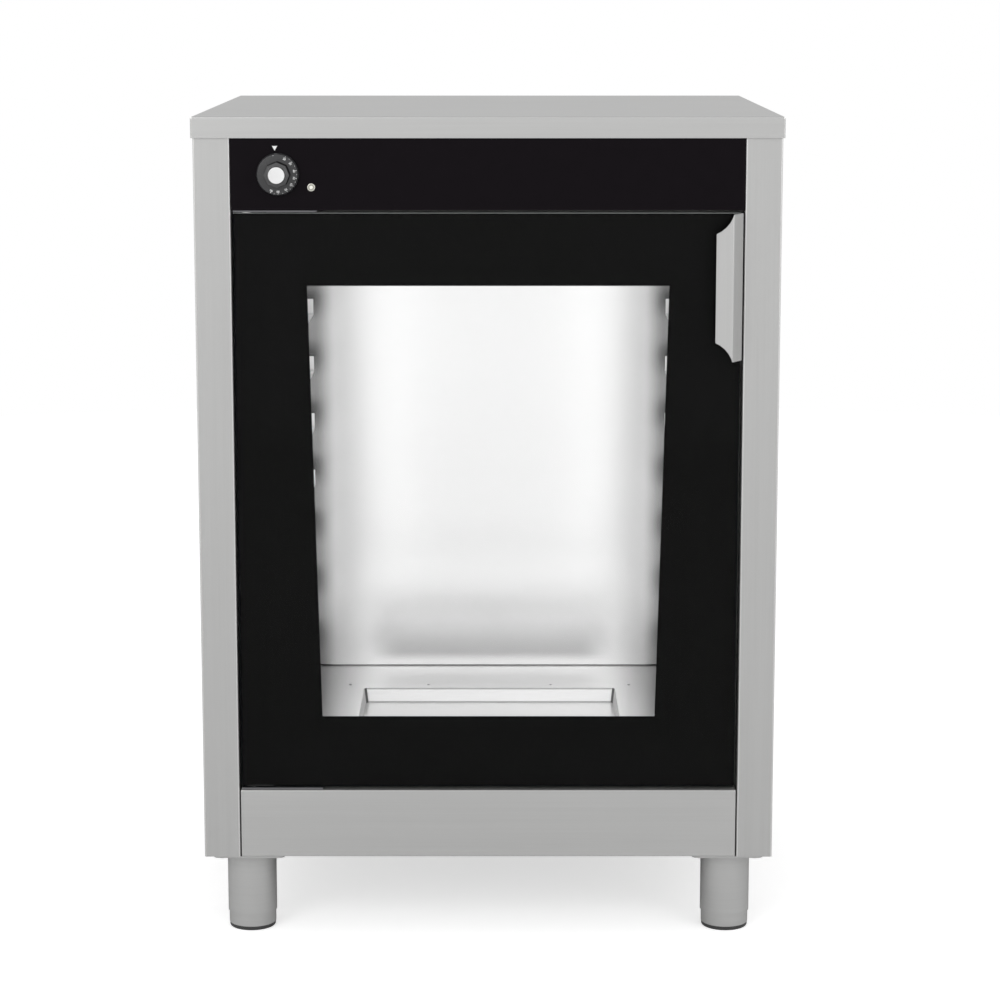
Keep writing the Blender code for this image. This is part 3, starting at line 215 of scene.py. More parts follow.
def turned_mesh(name, profile, steps=ROUND_STEPS):
    """Turn a profile of radius and height round Z into a closed mesh."""
    bm = bmesh.new()
    verts = [bm.verts.new((radius, 0, height)) for radius, height in profile]
    edges = [bm.edges.new(pair) for pair in zip(verts, verts[1:])]
    bmesh.ops.spin(
        bm,
        geom=verts + edges,
        cent=(0, 0, 0),
        axis=(0, 0, 1),
        angle=2 * math.pi,
        steps=steps,
        use_merge=True,
    )
    bmesh.ops.remove_doubles(bm, verts=bm.verts, dist=WELD_DISTANCE)
    bmesh.ops.recalc_face_normals(bm, faces=bm.faces)
    mesh = mesh_of(name, bm)
    shade(mesh)
    return mesh


FACING = {
    "up": Matrix.Identity(4),
    "down": Matrix.Rotation(math.pi, 4, "X"),
    "front": Matrix.Rotation(math.pi / 2, 4, "X"),
    "back": Matrix.Rotation(-math.pi / 2, 4, "X"),
    "right": Matrix.Rotation(math.pi / 2, 4, "Y"),
}


def stand(piece, centre, facing):
    """Move a piece whose own axis is Z to its place, with that axis facing a way."""
    piece.data.transform(Matrix.Translation(Vector(centre)) @ FACING[facing])
    return piece


def turned(name, profile, centre, facing="up", steps=ROUND_STEPS):
    """Make a turned object at a place."""
    return stand(link(name, turned_mesh(name, profile, steps)), centre, facing)


def arc(centre, radius, start, end, steps=6):
    """Points of an arc between two angles in degrees, for a rounded edge of a profile."""
    angles = [math.radians(start + (end - start) * i / steps) for i in range(steps + 1)]
    return [(centre[0] + radius * math.cos(a), centre[1] + radius * math.sin(a)) for a in angles]


def dome(radius, rise, steps, base=0.0):
    """Points of a profile from the top of a dome down to its rim."""
    angles = [math.pi / 2 * i / steps for i in range(steps + 1)]
    return [(radius * math.sin(a), base + rise * math.cos(a)) for a in angles]


def evaluated_mesh(made, name):
    """Return an object's mesh with its modifiers applied, and remove the object."""
    bpy.context.view_layer.update()
    depsgraph = bpy.context.evaluated_depsgraph_get()
    mesh = bpy.data.meshes.new_from_object(made.evaluated_get(depsgraph))
    mesh.name = name
    bpy.data.objects.remove(made, do_unlink=True)
    return mesh


def joined(name, meshes_and_matrices):
    """Join copies of meshes, each moved by a matrix, into one mesh."""
    bm = bmesh.new()
    for mesh, matrix in meshes_and_matrices:
        part = mesh.copy()
        part.transform(matrix)
        bm.from_mesh(part)
        bpy.data.meshes.remove(part)
    return mesh_of(name, bm)


# Helpers for material nodes


def add_node(tree, kind, settings=(), inputs=()):
    """Add a shader node. Inputs are pairs of a socket's name or number and a value or an output."""
    made = tree.nodes.new(kind)
    for key, value in dict(settings).items():
        setattr(made, key, value)
    for key, value in dict(inputs).items():
        if isinstance(value, bpy.types.NodeSocket):
            tree.links.new(value, made.inputs[key])
        else:
            made.inputs[key].default_value = value
    return made


def new_material(name, **values):
    """Return a material with its tree and its Principled shader, whose plain values are set."""
    material = bpy.data.materials.new(name)
    material.use_nodes = True
    tree = material.node_tree
    shader = tree.nodes["Principled BSDF"]
    for key, value in values.items():
        shader.inputs[key.replace("_", " ")].default_value = value
    return material, tree, shader


def noise(tree, scales, detail=2.0, roughness=0.5):
    """A noise in the piece's own metres. Scales are how many features fit a metre along each axis."""
    place = add_node(tree, "ShaderNodeTexCoord")
    spread = add_node(
        tree, "ShaderNodeMapping", inputs={"Vector": place.outputs["Object"], "Scale": scales}
    )
    texture = add_node(
        tree,
        "ShaderNodeTexNoise",
        inputs={
            "Vector": spread.outputs["Vector"],
            "Scale": 1.0,
            "Detail": detail,
            "Roughness": roughness,
        },
    )
    return texture.outputs["Fac"]


def spread_value(tree, value, low, high, source_low=0.3, source_high=0.7):
    """Map a noise's middle range to a range of values."""
    mapped = add_node(
        tree,
        "ShaderNodeMapRange",
        inputs={
            "Value": value,
            "From Min": source_low,
            "From Max": source_high,
            "To Min": low,
            "To Max": high,
        },
    )
    return mapped.outputs["Result"]


def math_node(tree, operation, first, second=0.0):
    """A Math node of two values, or of one where the operation takes one."""
    made = add_node(tree, "ShaderNodeMath", {"operation": operation}, {0: first, 1: second})
    return made.outputs["Value"]


def blend_colours(tree, share, first, second):
    """Mix two colours, or outputs of colours, by a value."""
    inputs = {"Factor": share}
    for key, colour in (("A", first), ("B", second)):
        inputs[key] = colour if isinstance(colour, bpy.types.NodeSocket) else (*colour, 1.0)
    made = add_node(tree, "ShaderNodeMix", {"data_type": "RGBA"}, inputs)
    return made.outputs["Result"]


def smooth_step(tree, value, start, end):
    """0 up to a start, 1 past an end and a soft rise between. A start above the end makes it fall."""
    mapped = add_node(
        tree,
        "ShaderNodeMapRange",
        {"interpolation_type": "SMOOTHSTEP"},
        {"Value": value, "From Min": start, "From Max": end},
    )
    return mapped.outputs["Result"]


def combined(tree, operation, *values):
    """One value from several, taken two at a time."""
    total = values[0]
    for value in values[1:]:
        total = math_node(tree, operation, total, value)
    return total


def product(tree, *values):
    """Multiply several values."""
    return combined(tree, "MULTIPLY", *values)


def place_parts(tree):
    """The outputs X, Y and Z of a place in the piece's own metres."""
    place = add_node(tree, "ShaderNodeTexCoord")
    return add_node(tree, "ShaderNodeSeparateXYZ", inputs={0: place.outputs["Object"]}).outputs


def set_bump(tree, shader, height, strength, distance):
    """Give a shader a bump from a height."""
    bump = add_node(
        tree,
        "ShaderNodeBump",
        inputs={"Height": height, "Strength": strength, "Distance": distance},
    )
    tree.links.new(bump.outputs["Normal"], shader.inputs["Normal"])


def toned(colour, factor):
    """A colour made lighter or darker."""
    return tuple(channel * factor for channel in colour)


def even(value):
    """The same value three times, as a grey or as scales along every axis."""
    return (value, value, value)


# Materials

# Brushed and mill-finished sheet. Scales are features per metre. Spreads of a roughness go both ways.
GRAIN_ALONG = 7.0
GRAIN_ACROSS = 1500.0
GRAIN_SHARE = 0.6
STREAK_ALONG = 3.0
STREAK_ACROSS = 260.0
CLOUD_SCALE = 3.5
CLOUD_SPREAD = 0.03
LINE_CONTRAST = 0.035
LINE_SPREAD = 0.05
LINE_BUMP = 0.10
LINE_HEIGHT = 0.00005
SATIN_METALLIC = 0.6
SATIN_SPECULAR = 0.1
EDGE_TINT = 0.63
MILL_CLOUD_SCALE = 6.0
MILL_CLOUD_SPREAD = 0.012
MILL_CLOUD_TONE = 0.992
MILL_FINE_SCALE = 900.0
MILL_FINE_SPREAD = 0.02
MILL_FINE_BUMP = 0.04
MILL_FINE_HEIGHT = 0.00003

# Moulded plastic and rubber, the pane's ground edge and its clear glass
MOTTLE_SCALE = 60.0
MOTTLE_SPREAD = 0.06
PIT_SPREAD = 0.06
PIT_HEIGHT = 0.00004
GROUND_SCALE = 1800.0
GROUND_TONE = 0.93
GROUND_BUMP = 0.15
PANE_TOP_BAND = (0.0006, 0.0003)
SMEAR_SCALES = (9.0, 9.0, 5.0)
SMEAR_SPREAD = 0.6

# Painted reflections and shade on the chamber's back wall: soft dark mirror images of the well and
# of the runners' stops, and shade towards its sides.
# Two values say where a tone starts and where it is full, in metres from the middle or the floor.
WELL_IMAGE_DEPTH = 0.38
WELL_IMAGE_HALF = (0.106, 0.156)
WELL_IMAGE_RISE = (0.004, 0.018)
WELL_IMAGE_FALL = (0.016, 0.066)
STOP_IMAGE_DEPTH = 0.16
STOP_IMAGE_SIDE = (0.182, 0.208)
STOP_IMAGE_DROP = 0.008
STOP_SIDE_SHADE_DEPTH = 0.62
STOP_WAVE_START = -0.6

# A touch of painted shade down the middle of the back wall
MIDDLE_SHADE_SIDE = (0.115, 0.170)
MIDDLE_SHADE_DEPTH = 0.045

# The dark line at the joint of the floor and the back wall
JOINT_LINE = (0.0010, 0.0020)
JOINT_DEPTH = 0.72

# Painted shade on the floor towards its sides, under the runners
FLOOR_SHADE_SIDE = (0.130, 0.205)
FLOOR_SHADE_DEPTH = 0.66

# The well's walls, with painted shade in the corners and on the side walls, a dark line at the rim and
# one at the foot
WELL_DEPTH = 0.017
RIM_LINE = (0.0010, 0.0022)
RIM_DEPTH = 0.55
WELL_CORNER_SHARE = (0.15, 0.35)
WELL_CORNER_SHADE_DEPTH = 0.88
WELL_SIDE_SHARE = (0.9, 1.0)
WELL_SIDE_SHADE_DEPTH = 0.45


def grain_scales(axes, along, across):
    """Scales of a noise drawn out along one axis or two."""
    return tuple(along if letter in axes else across for letter in "XYZ")


def steel_material(name, metallic, edge_tint):
    """A steel with its metallic share and how bright it stays at a grazing angle."""
    material, tree, shader = new_material(name, Metallic=metallic, Specular_IOR_Level=SATIN_SPECULAR)
    shader.inputs["Specular Tint"].default_value = (*even(edge_tint), 1.0)
    return material, tree, shader


def brushed_steel(name, colour, axes, roughness):
    """Brushed stainless sheet: fine lines along an axis, wider streaks and a faint cloud."""
    material, tree, shader = steel_material(name, SATIN_METALLIC, EDGE_TINT)
    grain = noise(tree, grain_scales(axes, GRAIN_ALONG, GRAIN_ACROSS), detail=3.0, roughness=0.6)
    streak = noise(tree, grain_scales(axes, STREAK_ALONG, STREAK_ACROSS))
    cloud = noise(tree, even(CLOUD_SCALE), detail=3.0)
    fine = product(tree, grain, GRAIN_SHARE)
    wide = product(tree, streak, 1 - GRAIN_SHARE)
    lines = math_node(tree, "ADD", fine, wide)
    share = spread_value(tree, lines, 0.0, 1.0)
    dark, bright = toned(colour, 1 - LINE_CONTRAST), toned(colour, 1 + LINE_CONTRAST)
    tone = blend_colours(tree, share, dark, bright)
    tree.links.new(tone, shader.inputs["Base Color"])
    clouded = spread_value(tree, cloud, -CLOUD_SPREAD, CLOUD_SPREAD)
    lined = spread_value(tree, lines, roughness - LINE_SPREAD, roughness + LINE_SPREAD)
    tree.links.new(math_node(tree, "ADD", clouded, lined), shader.inputs["Roughness"])
    set_bump(tree, shader, lines, LINE_BUMP, LINE_HEIGHT)
    return material


def mill_steel(name, colour, roughness, metallic=1.0, painted_shade=None):
    """Bright mill-finished sheet: almost even, with a soft cloud in its gloss.

    A function can paint shade on the sheet, saying how dark it is at each place.
    """
    material, tree, shader = steel_material(name, metallic, 1.0)
    cloud = noise(tree, even(MILL_CLOUD_SCALE), detail=3.0, roughness=0.55)
    fine = noise(tree, even(MILL_FINE_SCALE))
    cloud_share = spread_value(tree, cloud, 0.0, 1.0)
    tone = blend_colours(tree, cloud_share, toned(colour, MILL_CLOUD_TONE), colour)
    if painted_shade:
        tone = blend_colours(tree, painted_shade(tree), tone, even(0.0))
    tree.links.new(tone, shader.inputs["Base Color"])
    clouded = spread_value(tree, cloud, roughness - MILL_CLOUD_SPREAD, roughness + MILL_CLOUD_SPREAD)
    fined = spread_value(tree, fine, -MILL_FINE_SPREAD, MILL_FINE_SPREAD)
    tree.links.new(math_node(tree, "ADD", clouded, fined), shader.inputs["Roughness"])
    set_bump(tree, shader, fine, MILL_FINE_BUMP, MILL_FINE_HEIGHT)
    return material


def moulded(name, colour, roughness, grain=2600.0, bump=0.25, specular=0.5):
    """Moulded plastic or rubber with a fine erosion grain and a faint mottle."""
    material, tree, shader = new_material(name, Specular_IOR_Level=specular)
    pits = noise(tree, even(grain))
    mottle = noise(tree, even(MOTTLE_SCALE), detail=3.0)
    share = spread_value(tree, mottle, 0.0, 1.0)
    tone = blend_colours(tree, share, toned(colour, 1 - MOTTLE_SPREAD), toned(colour, 1 + MOTTLE_SPREAD))
    tree.links.new(tone, shader.inputs["Base Color"])
    gloss = spread_value(tree, pits, roughness - PIT_SPREAD, roughness + PIT_SPREAD)
    tree.links.new(gloss, shader.inputs["Roughness"])
    set_bump(tree, shader, pits, bump, PIT_HEIGHT)
    return material


def pane_edge_glass(name, lit_top_colour, shaded_edge_colour):
    """Ground edge of the pane, with painted light along the top, where light falls on it, and painted
    shade elsewhere.
    """
    material, tree, shader = new_material(name, Roughness=0.5, Specular_IOR_Level=0.05)
    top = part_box("door_glass")[1].z
    band = (top - drop for drop in PANE_TOP_BAND)
    share = spread_value(tree, place_parts(tree)["Z"], 0.0, 1.0, *band)
    grain = noise(tree, even(GROUND_SCALE))
    grain_share = spread_value(tree, grain, 0.0, 1.0)
    pale = blend_colours(tree, grain_share, toned(lit_top_colour, GROUND_TONE), lit_top_colour)
    tree.links.new(blend_colours(tree, share, shaded_edge_colour, pale), shader.inputs["Base Color"])
    set_bump(tree, shader, grain, GROUND_BUMP, PIT_HEIGHT)
    return material


def clear_pane(name, tint, mirror_ior, roughness):
    """Clear glass that lets light through straight, with a Fresnel mirror on its faces."""
    material, tree, shader = new_material(name)
    tree.nodes.remove(shader)
    output = tree.nodes["Material Output"]
    clear = add_node(tree, "ShaderNodeBsdfTransparent", inputs={"Color": (*tint, 1.0)})
    smear = noise(tree, SMEAR_SCALES, detail=4.0, roughness=0.6)
    dull, sharp = roughness * (1 + SMEAR_SPREAD), roughness * (1 - SMEAR_SPREAD)
    gloss = spread_value(tree, smear, sharp, dull)
    mirror = add_node(tree, "ShaderNodeBsdfGlossy", inputs={"Roughness": gloss})
    edge = add_node(tree, "ShaderNodeFresnel", inputs={"IOR": mirror_ior})
    mix = add_node(
        tree,
        "ShaderNodeMixShader",
        inputs={0: edge.outputs["Fac"], 1: clear.outputs["BSDF"], 2: mirror.outputs["BSDF"]},
    )
    tree.links.new(mix.outputs["Shader"], output.inputs["Surface"])
    return material


def side_and_height(tree):
    """How far a place is from the middle, and its height."""
    parts = place_parts(tree)
    return math_node(tree, "ABSOLUTE", parts["X"]), parts["Z"]


def rear_wall_painted_shade(tree):
    """Painted shade and reflections on the back wall: the well's dark image, side shade with the stops'
    images, the joint line and middle shade.
    """
    side, height = side_and_height(tree)
    floor_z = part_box("chamber_floor")[1].z
    well = product(
        tree,
        smooth_step(tree, side, *reversed(WELL_IMAGE_HALF)),
        smooth_step(tree, height, *(floor_z + rise for rise in WELL_IMAGE_RISE)),
        smooth_step(tree, height, *(floor_z + rise for rise in reversed(WELL_IMAGE_FALL))),
        WELL_IMAGE_DEPTH,
    )
    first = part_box("runner_left_1")[1].z - STOP_IMAGE_DROP
    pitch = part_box("runner_left_2")[0].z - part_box("runner_left_1")[0].z
    turns = math_node(tree, "MULTIPLY", math_node(tree, "SUBTRACT", height, first), math.tau / pitch)
    wave = math_node(tree, "COSINE", turns)
    stop_depth = spread_value(tree, wave, 0.0, STOP_IMAGE_DEPTH, STOP_WAVE_START, 1.0)
    side_depth = math_node(tree, "ADD", stop_depth, STOP_SIDE_SHADE_DEPTH)
    stops = product(tree, smooth_step(tree, side, *STOP_IMAGE_SIDE), side_depth)
    line = (floor_z + rise for rise in reversed(JOINT_LINE))
    joint = product(tree, smooth_step(tree, height, *line), JOINT_DEPTH)
    middle = product(tree, smooth_step(tree, side, *reversed(MIDDLE_SHADE_SIDE)), MIDDLE_SHADE_DEPTH)
    return combined(tree, "ADD", well, middle, stops, joint)


def floor_painted_shade(tree):
    """Painted shade on the chamber's floor, darker towards its sides under the runners."""
    side, _ = side_and_height(tree)
    return product(tree, smooth_step(tree, side, *FLOOR_SHADE_SIDE), FLOOR_SHADE_DEPTH)


def well_wall_painted_shade(tree):
    """Painted shade on the well's walls, in the corners and on the side walls, and dark lines along the
    rim and the foot.
    """
    _, height = side_and_height(tree)
    facing = add_node(tree, "ShaderNodeNewGeometry").outputs["True Normal"]
    parts = add_node(tree, "ShaderNodeSeparateXYZ", inputs={0: facing})
    across = math_node(tree, "ABSOLUTE", parts.outputs["X"])
    along = math_node(tree, "ABSOLUTE", parts.outputs["Y"])
    turned_in = smooth_step(tree, product(tree, across, along), *WELL_CORNER_SHARE)
    corner = product(tree, turned_in, WELL_CORNER_SHADE_DEPTH)
    wall = product(tree, smooth_step(tree, across, *WELL_SIDE_SHARE), WELL_SIDE_SHADE_DEPTH)
    rim_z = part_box("chamber_floor")[1].z
    foot_z = rim_z - WELL_DEPTH
    rim = smooth_step(tree, height, *(rim_z - drop for drop in reversed(RIM_LINE)))
    foot = smooth_step(tree, height, *(foot_z + rise for rise in reversed(RIM_LINE)))
    lines = product(tree, math_node(tree, "MAXIMUM", rim, foot), RIM_DEPTH)
    return combined(tree, "MAXIMUM", corner, wall, lines)


# Brushed steels: colour, axes of the brushing and roughness
STEEL = (0.520, 0.520, 0.515)
WORKTOP_STEEL = brushed_steel("worktop_brushed_steel", STEEL, "X", 0.38)
COLUMN_STEEL = brushed_steel("upright_brushed_steel", STEEL, "Z", 0.38)
PLINTH_STEEL = brushed_steel("plinth_brushed_steel", toned(STEEL, 1.03), "X", 0.38)
HANDLE_STEEL = brushed_steel("handle_brushed_steel", toned(STEEL, 1.05), "Z", 0.34)
FRAME_STEEL = brushed_steel("door_frame_brushed_steel", STEEL, "Z", 0.36)
# Lighter steels for the rounded bends: painted highlights along the edges, which are also glossier
BEND_HIGHLIGHT_STEEL = brushed_steel("bend_highlight_steel", toned(STEEL, 1.35), "XZ", 0.28)
WORKTOP_BEND_HIGHLIGHT = brushed_steel("worktop_bend_highlight_steel", toned(STEEL, 1.8), "XZ", 0.28)
LEG_STEEL = brushed_steel("leg_turned_steel", toned(STEEL, 1.04), "XY", 0.34)

# Mill-finished metals: colour, roughness, metallic share and where shade is painted on the sheet
CHAMBER_STEEL = mill_steel("chamber_mill_steel", even(0.79), 0.34, 0.6)
# The back wall carries painted reflections and painted shade
REAR_STEEL = mill_steel("chamber_rear_steel", even(0.97), 0.19, 0.7, rear_wall_painted_shade)
# The chamber's floor carries painted shade towards its sides
FLOOR_STEEL = mill_steel("chamber_floor_steel", even(0.99), 0.20, 0.50, floor_painted_shade)
# The well's walls carry painted shade in their corners and on their side walls
WELL_STEEL = mill_steel("well_wall_steel", even(1.0), 0.55, 0.0, well_wall_painted_shade)
RUNNER_STEEL = mill_steel("runner_mill_steel", even(0.84), 0.30, 0.2)
ZINC = mill_steel("zinc_plate", (0.21, 0.21, 0.22), 0.40, 0.8)
COPPER = mill_steel("drawn_copper", (0.62, 0.33, 0.20), 0.32)
SCREW_STEEL = mill_steel("screw_steel", even(0.58), 0.25)
LAMP_METAL = mill_steel("lamp_ring_metal", (0.62, 0.61, 0.55), 0.22, 0.8)

# Moulded and printed finishes: colour, roughness, grains per metre, bump and specular level
FASCIA_BLACK = moulded("fascia_black_film", (0.0052, 0.0036, 0.0052), 0.34, 1400.0, 0.08, 0.06)
PRINT_BLACK = moulded("enamel_black", (0.0043, 0.0043, 0.0042), 0.42, 1800.0, 0.05, 0.03)
BOND_BLACK = moulded("glass_bonding_tape", even(0.0035), 0.60, 1500.0, 0.1, 0.03)
KNOB_PLASTIC = moulded("knob_dark_plastic", (0.034, 0.034, 0.036), 0.26, 2600.0, 0.10, 0.60)
# The grip's sides are matt and painted darker as shade; its chamfer is polished and painted lighter as a
# highlight
GRIP_MATT_SIDE_SHADE = moulded("grip_matt_side_painted_shade", even(0.006), 0.55, 2600.0, 0.10, 0.10)
GRIP_POLISHED_CHAMFER_HIGHLIGHT = moulded("grip_polished_chamfer_painted_highlight", (0.060, 0.060, 0.062), 0.30, 2600.0, 0.10, 0.60)
BLOCK_PLASTIC = moulded("hinge_dark_plastic", (0.030, 0.030, 0.031), 0.50)
GLIDE_PLASTIC = moulded("foot_glide_plastic", even(0.045), 0.50)
CAP_PLASTIC = moulded("cap_white_plastic", even(0.86), 0.35, 2200.0, 0.08, 0.4)
CREAM_PLASTIC = moulded("terminal_cream_plastic", (0.62, 0.60, 0.54), 0.48)
RUBBER = moulded("gasket_rubber", (0.075, 0.075, 0.076), 0.62, 1500.0, 0.3)
GLAND_PLASTIC = moulded("gland_plastic", (0.070, 0.070, 0.072), 0.48)
WHITE_PRINT = moulded("white_print", even(0.90), 0.40, 2000.0, 0.03, 0.3)
NYLON = moulded("hinge_washer_nylon", (0.80, 0.80, 0.78), 0.45)

# The pane
# The pane's edge: painted light along its top and painted shade on its other edges
GLASS_EDGE = pane_edge_glass("ground_glass_edge", (0.60, 0.63, 0.62), (0.004, 0.005, 0.005))
GLASS = clear_pane("toughened_glass", even(0.992), mirror_ior=1.10, roughness=0.02)


# Sheets, frames and other pieces that keep the frame's shape

# Bent sheets, each with a painted highlight on its rounded bends
BENT = {
    "worktop": (WORKTOP_STEEL, WORKTOP_BEND_HIGHLIGHT),
    "side_panel_left": (COLUMN_STEEL, BEND_HIGHLIGHT_STEEL),
    "side_panel_right": (COLUMN_STEEL, BEND_HIGHLIGHT_STEEL),
    "plinth_panel": (PLINTH_STEEL, BEND_HIGHLIGHT_STEEL),
    "control_panel": (COLUMN_STEEL, BEND_HIGHLIGHT_STEEL),
}
SKINS = {
    "door_handle": HANDLE_STEEL,
    "base_panel": PLINTH_STEEL,
    "chamber_side_left": CHAMBER_STEEL,
    "chamber_side_right": CHAMBER_STEEL,
    "chamber_back": REAR_STEEL,
    "chamber_ceiling": CHAMBER_STEEL,
    "hinge_plate_upper": ZINC,
    "hinge_plate_lower": ZINC,
    "hinge_block_upper": BLOCK_PLASTIC,
    "hinge_block_lower": BLOCK_PLASTIC,
    "heating_element": ZINC,
    "thermostat_bulb": COPPER,
    "thermostat_body": ZINC,
    "thermostat_shaft": ZINC,
    "terminal_block": CREAM_PLASTIC,
    "door_gasket": RUBBER,
    "cable_gland": GLAND_PLASTIC,
}
PAINTED = {
    "back_panel": COLUMN_STEEL,
    "front_frame": COLUMN_STEEL,
    "control_fascia": FASCIA_BLACK,
    "door_glass_border": PRINT_BLACK,
}


def dress_frame():
    """Give every node that keeps its shape its finish."""
    for node, (material, bend) in BENT.items():
        dressed(node, material, bend, picked=is_bend)
    for node, material in SKINS.items():
        dressed(node, material)
    dressed("door_glass", GLASS, GLASS_EDGE, picked=is_pane_edge)
    dressed("chamber_floor", FLOOR_STEEL, WELL_STEEL, picked=is_upright)
    dressed("door_frame", FRAME_STEEL, BOND_BLACK, picked=is_front)
    for node in sorted(NODES):
        if node.startswith("runner_"):
            dressed(node, RUNNER_STEEL)
    for node, material in PAINTED.items():
        painted(node, material)


# Legs and feet

CORNERS = ("front_left", "front_right", "rear_left", "rear_right")
SLEEVE_LIP = 0.0004
GLIDE_HEIGHT = 0.0042
GLIDE_EDGE = 0.0016
GLIDE_INSET = 0.0005


def make_leg(corner):
    """One leg's sleeve and plate, its foot and the dark glide under the foot."""
    dressed(f"leg_{corner}", LEG_STEEL)
    foot_node = f"foot_{corner}"
    low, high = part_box(foot_node)
    centre = (low + high) / 2
    radius = (high.x - low.x) / 2
    body = body_of(foot_node)
    shell_profile = [
        (0, high.z),
        (radius - SLEEVE_LIP, high.z),
        (radius, high.z - SLEEVE_LIP),
        (radius, GLIDE_HEIGHT + SLEEVE_LIP),
        (radius - SLEEVE_LIP, GLIDE_HEIGHT),
        (0, GLIDE_HEIGHT),
    ]
    shell = turned(f"foot_shell_{corner}", shell_profile, (centre.x, centre.y, 0))
    settle(shell, body, SLOTS[foot_node], LEG_STEEL, foot_node)
    glide_radius = radius - GLIDE_INSET
    sole = arc((glide_radius - GLIDE_EDGE, GLIDE_EDGE), GLIDE_EDGE, 0, -90)
    glide_profile = [(0, GLIDE_HEIGHT), (glide_radius, GLIDE_HEIGHT), *sole, (0, 0)]
    glide = turned(f"foot_glide_{corner}", glide_profile, (centre.x, centre.y, 0))
    settle(glide, body, SLOTS[foot_node], GLIDE_PLASTIC)


# Thermostat knob

DIAL_RADIUS = 0.0215
DIAL_RIM = 0.0025
DIAL_THICKNESS = 0.0055
DIAL_CHAMFER = 0.0015
DIAL_EDGE = 0.0003
GRIP_SIDES = 8
GRIP_BASE_RADIUS = 0.0137
GRIP_NOSE_RADIUS = 0.0131
GRIP_HEIGHT = 0.0115
GRIP_CHAMFER_DEPTH = 0.0025
GRIP_CHAMFER_WIDTH = 0.003
GRIP_EDGE = 0.0005
GRIP_SIDE_LIMIT = 0.45
GRIP_NOSE_LIMIT = 0.97
CAP_RADIUS = 0.0083
CAP_EDGE = 0.0006
CAP_CROWN = 0.0002
MARK_INNER = 0.0186
MARK_OUTER = 0.0199
MARK_WIDTH = 0.00045
MINOR_INNER = 0.0193
NUMBER_RADIUS = 0.0171
NUMBER_SIZE = 0.0030
NUMBER_WEIGHT = 0.00006
MAJOR_ANGLES = (25, 50, 78, 102, 126, 150, 178, 201)
MINOR_ANGLES = (38, 64, 90, 113, 138, 164, 190)
NUMBERS = ("20", "30", "40", "50", "60", "70", "80", "90")
ZERO_ANGLE = -12
ZERO_RADIUS = 0.0193
ZERO_SIZE = 0.0005


def flat_bar(width, length):
    """A thin upright bar round the origin, in X and Z, as a mesh that faces the front."""
    bm = bmesh.new()
    bmesh.ops.create_cube(bm, size=1)
    bm.transform(Matrix.Diagonal((width, DECAL_THICKNESS, length, 1)))
    return mesh_of("bar", bm)


def number_mesh(number):
    """A number as a thin mesh that faces the front, centred on the origin."""
    curve = bpy.data.curves.new("number", "FONT")
    curve.body = number
    curve.size = NUMBER_SIZE
    curve.offset = NUMBER_WEIGHT
    curve.extrude = DECAL_THICKNESS / 2
    curve.align_x = "CENTER"
    curve.align_y = "CENTER"
    curve.resolution_u = 3
    mesh = evaluated_mesh(link("number", curve), "number")
    mesh.transform(FACING["front"])
    return mesh


def dial_place(angle, radius):
    """Matrix of a mark on the dial, clockwise from the top as seen from the front."""
    turn = Matrix.Rotation(math.radians(angle), 4, "Y")
    return turn @ Matrix.Translation((0, 0, radius))


def grip_part(mesh, face):
    """0 for the grip's nose, 1 for its sides and 2 for its chamfer."""
    forward = abs(face.normal.y)
    if forward < GRIP_SIDE_LIMIT:
        return 1
    return 2 if forward < GRIP_NOSE_LIMIT else 0


def make_dial():
    """The knob's dial, with a chamfered front edge."""
    slope = math.degrees(math.atan2(DIAL_THICKNESS - DIAL_RIM, DIAL_CHAMFER))
    flat = DIAL_RADIUS - DIAL_CHAMFER
    rim_bend = arc((flat, DIAL_THICKNESS - DIAL_EDGE), DIAL_EDGE, 90, 90 - slope, steps=3)
    profile = [
        (0, DIAL_THICKNESS),
        *rim_bend,
        (DIAL_RADIUS, DIAL_RIM),
        (DIAL_RADIUS, DIAL_EDGE),
        (DIAL_RADIUS - DIAL_EDGE, 0),
        (0, 0),
    ]
    dial = turned("thermostat_dial", profile, KNOB_SEAT, "front")
    settle(dial, "knob", SLOTS["thermostat_knob"], KNOB_PLASTIC, "thermostat_knob")


def make_grip():
    """The eight-sided grip, with matt sides painted darker as shade and a polished chamfer painted
    lighter as a highlight.
    """
    bm = bmesh.new()
    bmesh.ops.create_cone(
        bm,
        cap_ends=True,
        segments=GRIP_SIDES,
        radius1=GRIP_BASE_RADIUS,
        radius2=GRIP_NOSE_RADIUS,
        depth=GRIP_HEIGHT,
    )
    bm.normal_update()
    nose = max(bm.faces, key=lambda face: face.normal.z)
    bmesh.ops.inset_region(bm, faces=[nose], thickness=GRIP_CHAMFER_WIDTH, depth=GRIP_CHAMFER_DEPTH)
    bmesh.ops.translate(bm, verts=bm.verts, vec=(0, 0, DIAL_THICKNESS + GRIP_HEIGHT / 2))
    grip = link("thermostat_grip", mesh_of("thermostat_grip", bm))
    rounding = grip.modifiers.new("edges", "BEVEL")
    rounding.width = GRIP_EDGE
    rounding.segments = 3
    grip_mesh = evaluated_mesh(grip, "thermostat_grip")
    shade(grip_mesh)
    grip = stand(link("thermostat_grip", grip_mesh), KNOB_SEAT, "front")
    weighted(grip)
    settle(grip, "knob", SLOTS["thermostat_knob"], KNOB_PLASTIC)
    pick_materials(grip.data, (GRIP_MATT_SIDE_SHADE, GRIP_POLISHED_CHAMFER_HIGHLIGHT), grip_part)


